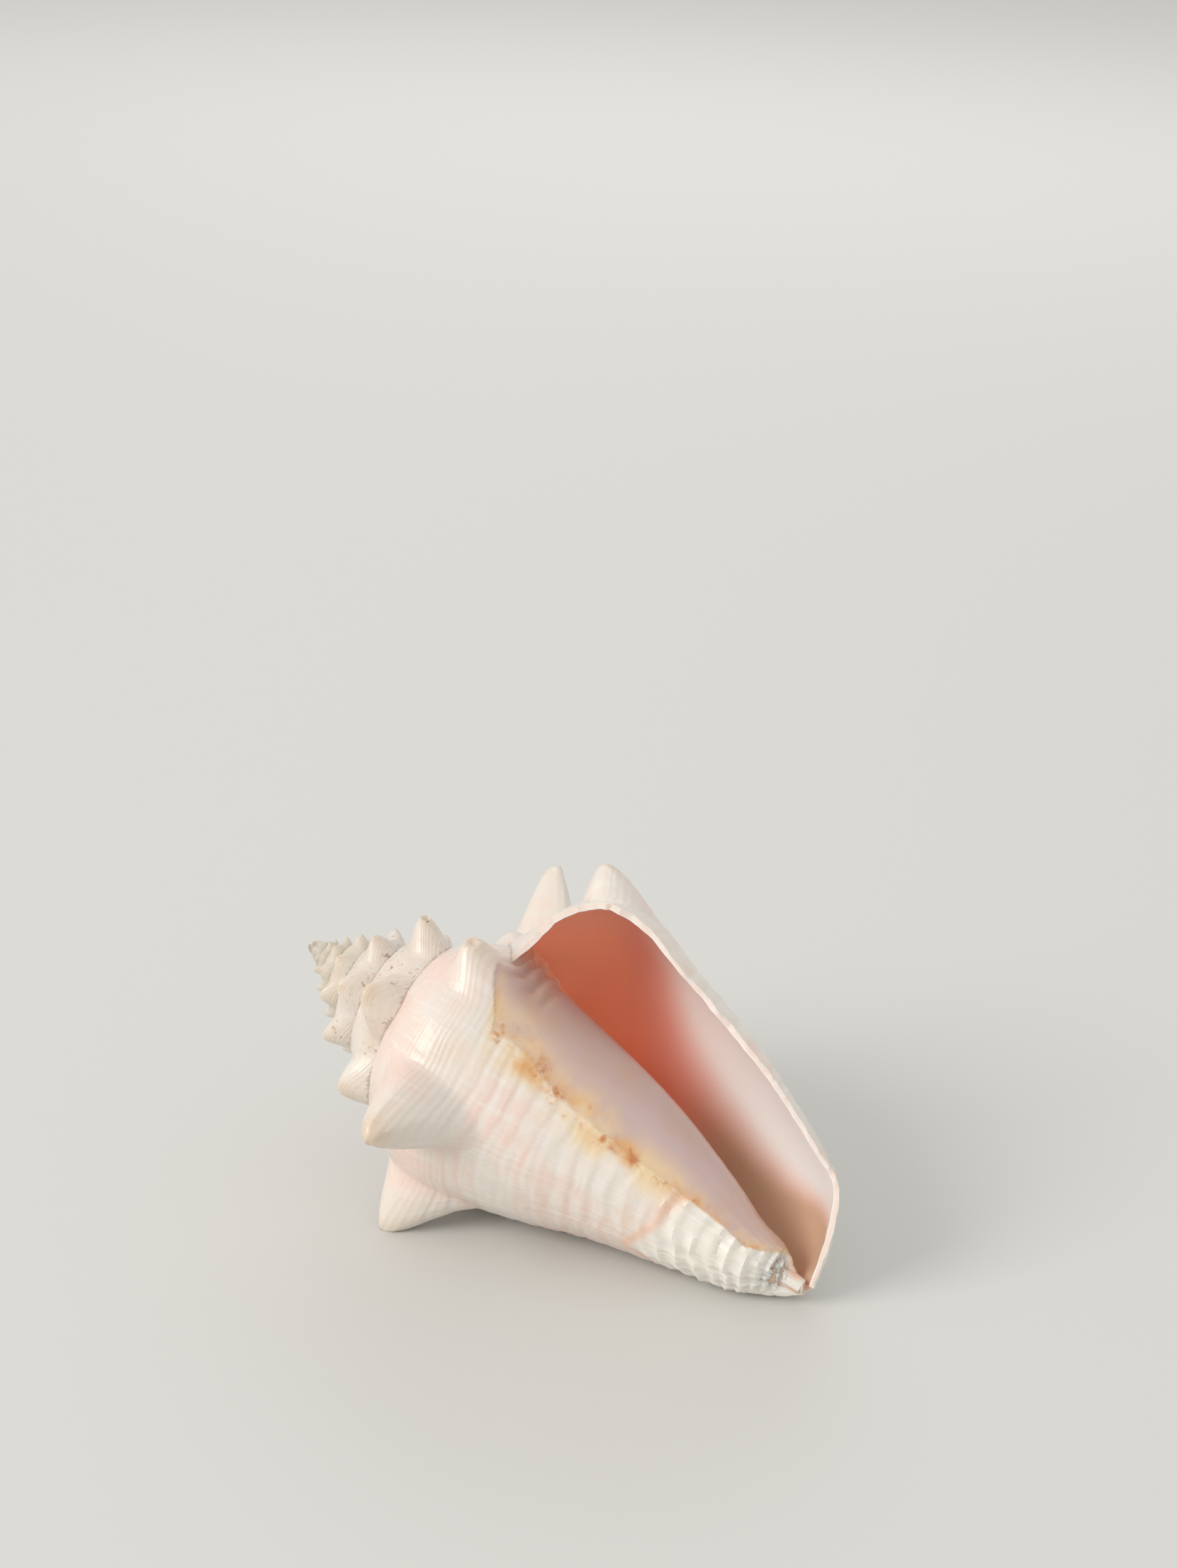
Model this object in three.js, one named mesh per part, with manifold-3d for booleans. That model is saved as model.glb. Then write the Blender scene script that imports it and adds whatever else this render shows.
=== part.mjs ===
// A young queen conch shell, grown in one piece: knobbly spire, spined body whorl, thin outer lip, open canal.
// Millimetres, +Z up, standing as it rests on a table, with the origin under the middle of its box.
import * as THREE from "three";
import { ConvexHull } from "three/addons/math/ConvexHull.js";
import { mergeVertices } from "three/addons/utils/BufferGeometryUtils.js";
import Module from "manifold-3d";

// Driving dimensions. Growth is counted in whorls: 0 is the outer lip, -1 is one turn before it.
const SHELL_LENGTH = 170; // apex to the end of the canal
const GROWTH_PER_WHORL = 1.5; // how much larger each whorl is than the one before
const LIP_AZIMUTH = 56; // degrees round the coiling axis
const STRETCH = 0.47; // whorls in each stretch that is built at once; not a half, so no two ends share a plane
const WALL_STRETCHES = 3; // the last stretches are a wall round an open hollow
const SOLID_STRETCHES = 14; // the ones before them are closed up inside
const SPIRE_TEMPLATE_WHORL = -2.2; // earlier than this every whorl has the same outline, only smaller
const WALL_THICKNESS = 3.2;
const LIP_THICKNESS = 1.9;
const LIP_TAPER = 0.3; // whorls over which the wall thins towards the lip
const WALL_STEP = 0.03; // whorls between sections
const SPIRE_STEP = 0.05;
const TUCK = 0.006; // whorls that a stretch reaches back into the one before
const TUCK_WALL = 0.12; // share of the wall by which it is drawn in there
const TUCK_SOLID = 0.02;
const SUTURE_OVERLAP = 1.6; // how deep the edge of a whorl sinks into the whorl before
const AXIS_GAP = 1.0; // walls stop this short of the coiling axis; the pillar fills the rest
const FOOT_FLAT = 0.4; // depth worn flat on each point that touches the table
const DOWN = new THREE.Vector3(0, 0, -1);
const UP = new THREE.Vector3(0, 0, 1);
const WELDS = [0.02, 0.04, 0.06, 0.08, 0.1, 0.12, 0.14, 0.17, 0.2]; // mm, tried in turn until the body is sound
const FINE_WELD = 0.001;
const REST_CONE = 0.99; // cosine of how far the level plane may lie from that
const REST_DOWN = new THREE.Vector3(-0.598, -0.712, -0.368); // roughly which way is down, in the coiling frame

// Outline of the wall in the half plane through the axis: [radius, distance from the apex], both as
// shares of the shell's length, from the suture over the shoulder to the canal.
const SPIRE_OUTLINE = [
  [0.181, 0.305], [0.22, 0.333], [0.258, 0.357], [0.284, 0.383], [0.296, 0.415], [0.297, 0.46], [0.278, 0.52],
  [0.248, 0.6], [0.204, 0.68], [0.16, 0.75], [0.12, 0.82], [0.08, 0.88], [0.04, 0.93], [0.01, 0.97],
];
const OUTLINES = [
  { whorl: -1.75, points: [
    [0.089, 0.15], [0.108, 0.168], [0.122, 0.184], [0.131, 0.201], [0.136, 0.222], [0.134, 0.252], [0.118, 0.31],
    [0.095, 0.38], [0.07, 0.48], [0.05, 0.58], [0.04, 0.68], [0.033, 0.78], [0.025, 0.87], [0.01, 0.93]] },
  { whorl: -1.35, points: [
    [0.1047, 0.1764], [0.128, 0.198], [0.144, 0.217], [0.155, 0.237], [0.162, 0.264], [0.163, 0.31], [0.15, 0.375],
    [0.13, 0.44], [0.112, 0.53], [0.092, 0.63], [0.068, 0.73], [0.048, 0.82], [0.035, 0.9], [0.01, 0.95]] },
  { whorl: -1.09, points: [
    [0.116, 0.196], [0.139, 0.22], [0.158, 0.242], [0.172, 0.265], [0.181, 0.295], [0.182, 0.34], [0.17, 0.41],
    [0.156, 0.49], [0.141, 0.586], [0.119, 0.683], [0.086, 0.785], [0.056, 0.865], [0.045, 0.925], [0.012, 0.965]] },
  { whorl: -0.85, points: [
    [0.128, 0.216], [0.155, 0.238], [0.178, 0.26], [0.194, 0.288], [0.202, 0.325], [0.198, 0.375], [0.183, 0.44],
    [0.163, 0.51], [0.14, 0.59], [0.118, 0.67], [0.095, 0.76], [0.07, 0.855], [0.045, 0.93], [0.012, 0.98]] },
  { whorl: -0.6, points: [
    [0.142, 0.244], [0.172, 0.264], [0.192, 0.29], [0.205, 0.32], [0.212, 0.36], [0.208, 0.41], [0.192, 0.465],
    [0.17, 0.54], [0.138, 0.62], [0.113, 0.7], [0.092, 0.79], [0.07, 0.875], [0.043, 0.94], [0.01, 0.985]] },
  { whorl: -0.42, points: [
    [0.1527, 0.251], [0.186, 0.275], [0.217, 0.305], [0.242, 0.335], [0.254, 0.378], [0.25, 0.435], [0.228, 0.5],
    [0.203, 0.57], [0.17, 0.655], [0.14, 0.735], [0.112, 0.815], [0.082, 0.89], [0.048, 0.95], [0.01, 0.985]] },
  { whorl: -0.25, points: [
    [0.1635, 0.257], [0.205, 0.284], [0.25, 0.325], [0.288, 0.36], [0.302, 0.405], [0.295, 0.465], [0.27, 0.535],
    [0.24, 0.61], [0.205, 0.7], [0.172, 0.78], [0.14, 0.855], [0.105, 0.92], [0.06, 0.97], [0.01, 0.99]] },
  { whorl: -0.1, points: [
    [0.177, 0.268], [0.225, 0.298], [0.28, 0.335], [0.325, 0.378], [0.342, 0.425], [0.335, 0.49], [0.31, 0.565],
    [0.285, 0.64], [0.255, 0.725], [0.225, 0.8], [0.19, 0.875], [0.145, 0.935], [0.08, 0.978], [0.01, 0.995]] },
  { whorl: 0, points: [
    [0.1812, 0.3199], [0.242, 0.3432], [0.3055, 0.3642], [0.3535, 0.4025], [0.3754, 0.4415], [0.3747, 0.5072],
    [0.3472, 0.5957], [0.322, 0.6739], [0.2886, 0.7686], [0.2594, 0.8293], [0.2223, 0.8994], [0.1877, 0.9529],
    [0.1028, 0.9802], [0.01, 0.9936]] },
];
// Where along the outline the rings have points: closer together over the shoulder.
const OUTLINE_STATIONS = [0, 0.06, 0.12, 0.18, 0.24, 0.3, 0.36, 0.43, 0.52, 0.61, 0.7, 0.79, 0.87, 0.94, 1];

// Shoulder spines: tip as [radius, distance from the apex] in mm, half widths in whorls and along the outline,
// there also towards the canal, where that side is steeper.
const SPINES = [
  { whorl: -2.19, along: 0.31, tip: [28.6, 26], wide: 0.07, tall: 0.2, taper: 0.95 },
  { whorl: -2.014, along: 0.31, tip: [28, 27], wide: 0.06, tall: 0.2, taper: 0.6 },
  { whorl: -1.836, along: 0.33, tip: [30.6, 31], wide: 0.075, tall: 0.2, taper: 0.85 },
  { whorl: -1.664, along: 0.33, tip: [31, 35.6], wide: 0.075, tall: 0.2, taper: 0.85 },
  { whorl: -1.49, along: 0.33, tip: [34.6, 38], wide: 0.075, tall: 0.2, taper: 0.85 },
  { whorl: -1.32, along: 0.33, tip: [37.6, 40], wide: 0.075, tall: 0.2, taper: 0.85 },
  { whorl: -1.145, along: 0.33, tip: [37.6, 45], wide: 0.075, tall: 0.2, taper: 1.0 },
  { whorl: -0.955, along: 0.31, tip: [39.6, 46.3], wide: 0.085, tall: 0.21, taper: 1.1 },
  { whorl: -0.755, along: 0.32, tip: [56.2, 56.2], wide: 0.05, tall: 0.16, taper: 0.85 },
  { whorl: -0.57, along: 0.33, tip: [53.6, 62], wide: 0.05, tall: 0.17, taper: 1.0 },
  { whorl: -0.385, along: 0.33, tip: [57, 62], wide: 0.07, tall: 0.2, taper: 1.35 },
  { whorl: -0.18, along: 0.27, tip: [69.5, 34.5], wide: 0.034, tall: 0.2, tallAfter: 0.08, taper: 1.0 },
  { whorl: -0.052, along: 0.26, tip: [65.5, 62], wide: 0.04, tall: 0.085, tallAfter: 0.13, taper: 0.55 },
];
const SPIRE_KNOBS = { first: -2.36, spacing: 0.15, count: 22, tip: [25, 25.4], at: -2.19, wide: 0.066 };
const TIP_ROUNDING = 0.16;

const growth = (whorl) => GROWTH_PER_WHORL ** whorl;

// Every spine, with the small knobs of the spire added as scaled copies of one knob.
function allSpines() {
  const knobs = Array.from({ length: SPIRE_KNOBS.count }, (_, i) => {
    const whorl = SPIRE_KNOBS.first - i * SPIRE_KNOBS.spacing;
    const scale = growth(whorl - SPIRE_KNOBS.at);
    const tip = SPIRE_KNOBS.tip.map((length) => length * scale);
    return { whorl, along: 0.31, tip, wide: SPIRE_KNOBS.wide, tall: 0.2, taper: 0.95 };
  });
  return [...knobs.reverse(), ...SPINES].filter((spine) => spine.whorl > -(WALL_STRETCHES + SOLID_STRETCHES) * STRETCH);
}

// The keyed outlines divided by the growth law, so that only their shape is left to blend.
const KEYS = [
  { whorl: SPIRE_TEMPLATE_WHORL, points: SPIRE_OUTLINE },
  ...OUTLINES.map(({ whorl, points }) => ({
    whorl,
    points: points.map(([r, z]) => [r / growth(whorl), z / growth(whorl)]),
  })),
].map(({ whorl, points }) => ({
  whorl,
  curve: new THREE.CatmullRomCurve3(
    points.map(([r, z]) => new THREE.Vector3(r, z, 0)), false, "catmullrom", 0.5),
}));

// Slope of the keyed outlines at key k, for points already taken at one place along them.
function keySlope(points, k) {
  const slope = (a, b) => points[b].clone().sub(points[a]).divideScalar(KEYS[b].whorl - KEYS[a].whorl);
  if (k === 0) return slope(0, 1);
  if (k === KEYS.length - 1) return slope(k - 1, k);
  const before = KEYS[k].whorl - KEYS[k - 1].whorl;
  const after = KEYS[k + 1].whorl - KEYS[k].whorl;
  const share = before / (before + after);
  return slope(k - 1, k).multiplyScalar(1 - share).add(slope(k, k + 1).multiplyScalar(share));
}

// The smooth wall's outside at a whorl count and a place along the outline: x is radius, y is distance from the apex.
function outlinePoint(whorl, along) {
  const at = THREE.MathUtils.clamp(whorl, KEYS[0].whorl, 0);
  const points = KEYS.map((key) => key.curve.getPoint(THREE.MathUtils.clamp(along, 0, 1)));
  let k = 0;
  while (k < KEYS.length - 2 && KEYS[k + 1].whorl <= at) k += 1;
  const span = KEYS[k + 1].whorl - KEYS[k].whorl;
  const u = (at - KEYS[k].whorl) / span;
  const result = points[k].clone().multiplyScalar(2 * u ** 3 - 3 * u ** 2 + 1);
  result.addScaledVector(points[k + 1], 3 * u ** 2 - 2 * u ** 3);
  result.addScaledVector(keySlope(points, k), span * (u ** 3 - 2 * u ** 2 + u));
  result.addScaledVector(keySlope(points, k + 1), span * (u ** 3 - u ** 2));
  return result.multiplyScalar(growth(whorl) * SHELL_LENGTH);
}

// Outward direction of the wall in the half plane.
function outlineNormal(whorl, along) {
  const step = 0.01;
  const tangent = outlinePoint(whorl, Math.min(along + step, 1)).sub(outlinePoint(whorl, Math.max(along - step, 0)));
  return new THREE.Vector3(tangent.y, -tangent.x, 0).normalize();
}

// 1 at a spine's centre, 0 outside it: a cone with a rounded tip and a soft foot.
function spineShape(distance, taper) {
  const d = Math.min(distance, 1);
  const rounded = (Math.hypot(d, TIP_ROUNDING) - TIP_ROUNDING) / (Math.hypot(1, TIP_ROUNDING) - TIP_ROUNDING);
  const x = 1 - rounded;
  return x ** taper * (x * x * (3 - 2 * x)) ** 0.35;
}

function addSpines(point, whorl, along, spines) {
  for (const spine of spines) {
    const tall = along > spine.along ? spine.tallAfter ?? spine.tall : spine.tall;
    const distance = Math.hypot((whorl - spine.whorl) / spine.wide, (along - spine.along) / tall);
    if (distance >= 1) continue;
    const reach = new THREE.Vector3(...spine.tip, 0).sub(spine.root);
    point.addScaledVector(reach, spineShape(distance, spine.taper));
  }
  return point;
}

// From the half plane at a whorl count to space: the axis is Z, apex up, and the shell coils to the right.
function toSpace(point, whorl) {
  const azimuth = THREE.MathUtils.degToRad(LIP_AZIMUTH) - 2 * Math.PI * whorl;
  return new THREE.Vector3(point.x * Math.cos(azimuth), point.x * Math.sin(azimuth), SHELL_LENGTH - point.y);
}

function wallThickness(whorl) {
  const share = THREE.MathUtils.smoothstep(-whorl, 0, LIP_TAPER);
  return THREE.MathUtils.lerp(LIP_THICKNESS, WALL_THICKNESS, share);
}

// One closed section through the wall: its outside, then the hollow's side, or the axis where it is solid.
function ring(whorl, spines, hollow) {
  const outside = OUTLINE_STATIONS.map((along) => {
    const point = addSpines(outlinePoint(whorl, along), whorl, along, spines);
    if (along === 0) point.add(new THREE.Vector3(-1, 0.4, 0).setLength(SUTURE_OVERLAP * Math.min(1, growth(whorl + 1))));
    return point;
  });
  const inside = OUTLINE_STATIONS.map((along, i) => {
    const point = outlinePoint(whorl, along);
    if (hollow) point.addScaledVector(outlineNormal(whorl, along), -wallThickness(whorl));
    else point.copy(outside[i]).setX(0);
    point.x = Math.max(point.x, Math.min(AXIS_GAP, 0.3 * outside[i].x));
    return point;
  });
  return { outside: outside.map((p) => toSpace(p, whorl)), inside: inside.map((p) => toSpace(p, whorl)) };
}

// A section drawn in a little on both sides, so that a stretch starts buried in the one before.
function tucked({ outside, inside }, share) {
  return {
    outside: outside.map((p, i) => p.clone().lerp(inside[i], share)),
    inside: inside.map((p, i) => p.clone().lerp(outside[i], share)),
  };
}

// A closed body through a row of sections, with a flat cap at each end.
function loft(rings) {
  const across = OUTLINE_STATIONS.length;
  const around = 2 * across;
  const position = rings.flatMap(({ outside, inside }) =>
    [...outside, ...inside.slice().reverse()].flatMap((p) => p.toArray()));
  const index = [];
  for (let r = 0; r < rings.length - 1; r += 1) {
    for (let i = 0; i < around; i += 1) {
      const a = r * around + i;
      const b = r * around + ((i + 1) % around);
      index.push(a, b, b + around, a, b + around, a + around);
    }
  }
  for (const [start, turned] of [[0, true], [(rings.length - 1) * around, false]]) {
    for (let i = 0; i < across - 1; i += 1) {
      const [a, b, c, d] = [start + i, start + i + 1, start + around - 2 - i, start + around - 1 - i];
      index.push(...(turned ? [a, c, b, a, d, c] : [a, b, c, a, c, d]));
    }
  }
  const geometry = new THREE.BufferGeometry();
  geometry.setAttribute("position", new THREE.Float32BufferAttribute(position, 3));
  geometry.setIndex(index);
  return geometry;
}

function signedVolume(geometry) {
  const [a, b, c] = [new THREE.Vector3(), new THREE.Vector3(), new THREE.Vector3()];
  const { position } = geometry.attributes;
  let volume = 0;
  for (let i = 0; i < geometry.index.count; i += 3) {
    a.fromBufferAttribute(position, geometry.index.getX(i));
    b.fromBufferAttribute(position, geometry.index.getX(i + 1));
    c.fromBufferAttribute(position, geometry.index.getX(i + 2));
    volume += a.dot(b.cross(c)) / 6;
  }
  return volume;
}

// Growth stations between two whorl counts: one on each spine, the rest spread evenly between them.
function growthStations(from, to, spines, gap) {
  const fixed = [from, ...spines.map((s) => s.whorl).filter((w) => w > from + 0.01 && w < to - 0.01), to];
  return fixed.flatMap((start, i) => {
    if (i === fixed.length - 1) return [start];
    const count = Math.max(1, Math.round((fixed[i + 1] - start) / gap));
    return Array.from({ length: count }, (_, j) => start + ((fixed[i + 1] - start) * j) / count);
  });
}

const wasm = await Module();
wasm.setup();

function solidOf(geometry, weld = 1e-4) {
  const plain = geometry.clone();
  plain.deleteAttribute("normal");
  plain.deleteAttribute("uv");
  const merged = mergeVertices(plain, weld);
  const triVerts = new Uint32Array(soundTriangles(merged.index.array));
  if (signedVolume(merged) < 0) {
    for (let i = 0; i < triVerts.length; i += 3) [triVerts[i], triVerts[i + 1]] = [triVerts[i + 1], triVerts[i]];
  }
  return new wasm.Manifold(new wasm.Mesh({
    numProp: 3, vertProperties: new Float32Array(merged.attributes.position.array), triVerts,
  }));
}

// Leaves out triangles that welding has closed to a line, and pairs that it has folded flat on each other.
function soundTriangles(index) {
  const kept = new Map();
  for (let i = 0; i < index.length; i += 3) {
    const corners = [index[i], index[i + 1], index[i + 2]];
    if (new Set(corners).size < 3) continue;
    const key = corners.slice().sort((a, b) => a - b).join(" ");
    if (kept.has(key)) kept.delete(key);
    else kept.set(key, corners);
  }
  return [...kept.values()].flat();
}

function geometryOf(solid) {
  const mesh = solid.getMesh();
  const geometry = new THREE.BufferGeometry();
  geometry.setAttribute("position", new THREE.BufferAttribute(new Float32Array(mesh.vertProperties), 3));
  geometry.setIndex(new THREE.BufferAttribute(new Uint32Array(mesh.triVerts), 1));
  return geometry;
}

// The pillar round the coiling axis that every whorl winds about.
function pillar() {
  const points = [[0, 2.4], [0.8, 3], [1.4, 5], [2.4, 9], [3, 60], [3.2, 110], [2.8, 150], [2.2, 166], [0, 167]]
    .map(([radius, fromApex]) => new THREE.Vector2(radius, SHELL_LENGTH - fromApex));
  return new THREE.LatheGeometry(points, 12).rotateX(Math.PI / 2);
}

function shellSolid() {
  const spines = allSpines().map((s) => ({ ...s, root: outlinePoint(s.whorl, s.along) }));
  let shell = solidOf(pillar());
  for (let i = WALL_STRETCHES + SOLID_STRETCHES; i > 0; i -= 1) {
    const hollow = i <= WALL_STRETCHES;
    const stations = growthStations(-i * STRETCH, -(i - 1) * STRETCH, spines, hollow ? WALL_STEP : SPIRE_STEP);
    const start = tucked(ring(stations[0] - TUCK, spines, hollow), hollow ? TUCK_WALL : TUCK_SOLID);
    const rest = stations.slice(1).map((whorl) => ring(whorl, spines, hollow));
    shell = shell.add(solidOf(loft([start, ...rest])));
  }
  return shell;
}

// Turns the shell so that the three points it would stand on lie in one level plane, its length along X.
function restingTurn(geometry) {
  const { position } = geometry.attributes;
  const corners = Array.from({ length: position.count }, (_, i) =>
    new THREE.Vector3().fromBufferAttribute(position, i));
  const { faces } = new ConvexHull().setFromPoints(corners);
  const under = faces.filter((face) => face.normal.dot(REST_DOWN) > REST_CONE);
  const base = under.reduce((a, b) => (b.area > a.area ? b : a));
  const level = new THREE.Quaternion().setFromUnitVectors(base.normal.clone().normalize(), DOWN);
  const canal = new THREE.Vector3(0, 0, -1).applyQuaternion(level);
  const yaw = new THREE.Quaternion().setFromAxisAngle(UP, -Math.atan2(canal.y, canal.x));
  return new THREE.Matrix4().makeRotationFromQuaternion(yaw.multiply(level));
}

// Wears a small flat on each point that touches the table, then sets the origin under the middle of the box.
function standOnTable(solid) {
  const geometry = geometryOf(solid);
  geometry.applyMatrix4(restingTurn(geometry));
  geometry.computeBoundingBox();
  const { min, max } = geometry.boundingBox;
  geometry.translate(-(min.x + max.x) / 2, -(min.y + max.y) / 2, -min.z - FOOT_FLAT);
  const below = new THREE.BoxGeometry(4 * SHELL_LENGTH, 4 * SHELL_LENGTH, SHELL_LENGTH);
  below.translate(0, 0, -SHELL_LENGTH / 2);
  return geometryOf(cleaned(solidOf(geometry).subtract(solidOf(below))));
}

// Welds corners that the joins left almost touching, and drops the specks that this sets free.
function cleaned(solid) {
  for (const weld of WELDS) {
    let body = largestBody(solid);
    for (const distance of [weld, FINE_WELD, FINE_WELD]) body = largestBody(solidOf(geometryOf(body), distance));
    if (everyEdgeJoinsTwo(geometryOf(body))) return body;
  }
  throw new Error("no weld leaves a sound body");
}

// True where each edge belongs to exactly two triangles, counting corners at one place as one corner.
function everyEdgeJoinsTwo(geometry) {
  const { index } = mergeVertices(geometry, FINE_WELD / 10);
  const uses = new Map();
  for (let i = 0; i < index.count; i += 3) {
    for (const [j, k] of [[0, 1], [1, 2], [2, 0]]) {
      const [a, b] = [index.getX(i + j), index.getX(i + k)];
      const key = a < b ? `${a} ${b}` : `${b} ${a}`;
      uses.set(key, (uses.get(key) ?? 0) + 1);
    }
  }
  return [...uses.values()].every((count) => count === 2);
}

function largestBody(solid) {
  return solid.decompose().reduce((a, b) => (b.volume() > a.volume() ? b : a));
}

const mesh = new THREE.Mesh(
  standOnTable(shellSolid()),
  new THREE.MeshStandardMaterial({ color: 0xeadfce, roughness: 0.4, metalness: 0 }),
);
mesh.name = "conch_shell";
const shell = new THREE.Group();
shell.add(mesh);
export default shell;
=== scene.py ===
"""A young conch shell lying on a pale table, lit by a large soft window.

The shell is built from its growth: an outline that winds round the coiling axis and grows as it goes,
with spines on its shoulder, a wall round the open last whorl, and fine relief laid on the finished skin.
"""

from __future__ import annotations

import logging
import math
from collections.abc import Callable
from dataclasses import dataclass, replace
from enum import Enum

import bmesh
import bpy
import numpy as np
from mathutils import Matrix, Vector
from mathutils.kdtree import KDTree

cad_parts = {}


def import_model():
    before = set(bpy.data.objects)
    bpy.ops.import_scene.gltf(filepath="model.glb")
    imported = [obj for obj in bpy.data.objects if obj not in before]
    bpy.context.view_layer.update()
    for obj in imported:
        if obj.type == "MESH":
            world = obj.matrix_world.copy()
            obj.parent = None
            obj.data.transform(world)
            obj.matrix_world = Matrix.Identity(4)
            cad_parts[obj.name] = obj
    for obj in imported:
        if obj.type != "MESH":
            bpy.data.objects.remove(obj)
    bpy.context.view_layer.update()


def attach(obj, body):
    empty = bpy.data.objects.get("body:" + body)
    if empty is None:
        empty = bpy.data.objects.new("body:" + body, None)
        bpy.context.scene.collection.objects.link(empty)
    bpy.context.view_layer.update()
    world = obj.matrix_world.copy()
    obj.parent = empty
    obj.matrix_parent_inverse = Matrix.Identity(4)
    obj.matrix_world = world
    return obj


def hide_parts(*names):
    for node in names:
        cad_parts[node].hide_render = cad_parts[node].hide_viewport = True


LOG = logging.getLogger("conch")
MM = 0.001

LENGTH = 170.0  # apex to the end of the canal, mm
GROWTH = 1.5  # how much larger each whorl is than the one before
LIP_AZIMUTH = 56.0  # degrees round the coiling axis
RESTING_TILT = -69.4782  # degrees about Y, from the coiling frame to the frame it rests in
RESTING_SPIN = -51.5740  # degrees about Z, taken before the tilt
RESTING_SHIFT = (76.640, -3.917, 5.094)  # mm


class Side(Enum):
    """Which side of the wall a patch belongs to."""

    OUTSIDE = 0.0
    INSIDE = 1.0


# ---------------------------------------------------------------------------------------------- numbers


def smooth(low: float, high: float, value: np.ndarray) -> np.ndarray:
    """Soft step.

    Args:
        low: Where the step starts.
        high: Where it ends.
        value: Places to read.

    Returns:
        0 below low, 1 above high, and an even curve between.
    """
    share = np.clip((value - low) / (high - low), 0.0, 1.0)
    return share * share * (3.0 - 2.0 * share)


def bell(value: np.ndarray, centre: float, width: float) -> np.ndarray:
    """Bell curve of height 1 about a centre."""
    return np.exp(-(((value - centre) / width) ** 2))


def lattice(ix: np.ndarray, iy: np.ndarray, iz: np.ndarray, seed: int) -> np.ndarray:
    """Repeatable random values on a grid of whole numbers.

    Args:
        ix: First coordinates.
        iy: Second coordinates.
        iz: Third coordinates.
        seed: Which pattern.

    Returns:
        A value from 0 to 1 for each place.
    """
    mixed = (ix * 73856093) ^ (iy * 19349663) ^ (iz * 83492791) ^ (seed * 2654435761)
    mixed = (mixed ^ (mixed >> 13)) * 1274126177
    mixed = mixed ^ (mixed >> 16)
    return (mixed & 0xFFFFFF) / float(0xFFFFFF)


def noise(points: np.ndarray, seed: int = 0, octaves: int = 1) -> np.ndarray:
    """Smooth value noise.

    Args:
        points: Places, one row each, with one to three columns.
        seed: Which pattern.
        octaves: How many layers, each twice as fine and half as strong.

    Returns:
        Values from about -1 to 1.
    """
    full = np.zeros((len(points), 3))
    full[:, : points.shape[1]] = points
    total = np.zeros(len(points))
    strength, reach = 1.0, 0.0
    for layer in range(octaves):
        scaled = full * 2.0**layer + 17.3 * layer
        base = np.floor(scaled).astype(np.int64)
        part = scaled - base
        part = part * part * (3.0 - 2.0 * part)
        value = np.zeros(len(points))
        for corner in range(8):
            step = [(corner >> axis) & 1 for axis in range(3)]
            weight = np.ones(len(points))
            for axis in range(3):
                weight = weight * (part[:, axis] if step[axis] else 1.0 - part[:, axis])
            near = base + np.array(step)
            value += weight * lattice(near[:, 0], near[:, 1], near[:, 2], seed + layer)
        total += strength * (2.0 * value - 1.0)
        reach += strength
        strength *= 0.5
    return total / reach


def drift(whorl: np.ndarray, along: np.ndarray, fineness: tuple[float, float], seed: int,
          octaves: int = 2) -> np.ndarray:
    """Smooth noise laid out on the skin.

    Args:
        whorl: Whorl counts.
        along: Places along the outline.
        fineness: Cells per whorl, and from the suture to the canal.
        seed: Which pattern.
        octaves: How many layers.

    Returns:
        Values from about -1 to 1.
    """
    return noise(np.stack([whorl * fineness[0], along * fineness[1]], axis=1), seed, octaves)


def blend_weights(places: np.ndarray, knots: np.ndarray) -> np.ndarray:
    """Weights of a smooth curve through knots.

    Args:
        places: Where to read the curve.
        knots: Where its control values stand, in rising order.

    Returns:
        One row per place; its product with the control values is the curve there.
    """
    count = len(knots)
    index = np.clip(np.searchsorted(knots, places, side="right") - 1, 0, count - 2)
    gap = knots[index + 1] - knots[index]
    u = np.clip((places - knots[index]) / gap, 0.0, 1.0)
    slopes = np.zeros((count, count))
    for k in range(count):
        before = knots[k] - knots[k - 1] if k else 0.0
        after = knots[k + 1] - knots[k] if k < count - 1 else 0.0
        share = before / (before + after)
        if k < count - 1:
            weight = share if k else 1.0
            slopes[k, k] -= weight / after
            slopes[k, k + 1] += weight / after
        if k:
            weight = 1.0 - share if k < count - 1 else 1.0
            slopes[k, k - 1] -= weight / before
            slopes[k, k] += weight / before
    rows = np.arange(len(places))
    weights = np.zeros((len(places), count))
    weights[rows, index] += 2 * u**3 - 3 * u**2 + 1
    weights[rows, index + 1] += 3 * u**2 - 2 * u**3
    weights += (gap * (u**3 - 2 * u**2 + u))[:, None] * slopes[index]
    weights += (gap * (u**3 - u**2))[:, None] * slopes[index + 1]
    return weights


# ---------------------------------------------------------------------------------------------- growth


@dataclass(frozen=True)
class Outline:
    """The wall's outline in the half plane through the axis, at one whorl count.

    points are [radius, distance from the apex] as shares of the shell's length, from the suture to the canal.
    """

    whorl: float
    points: tuple[tuple[float, float], ...]


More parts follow.
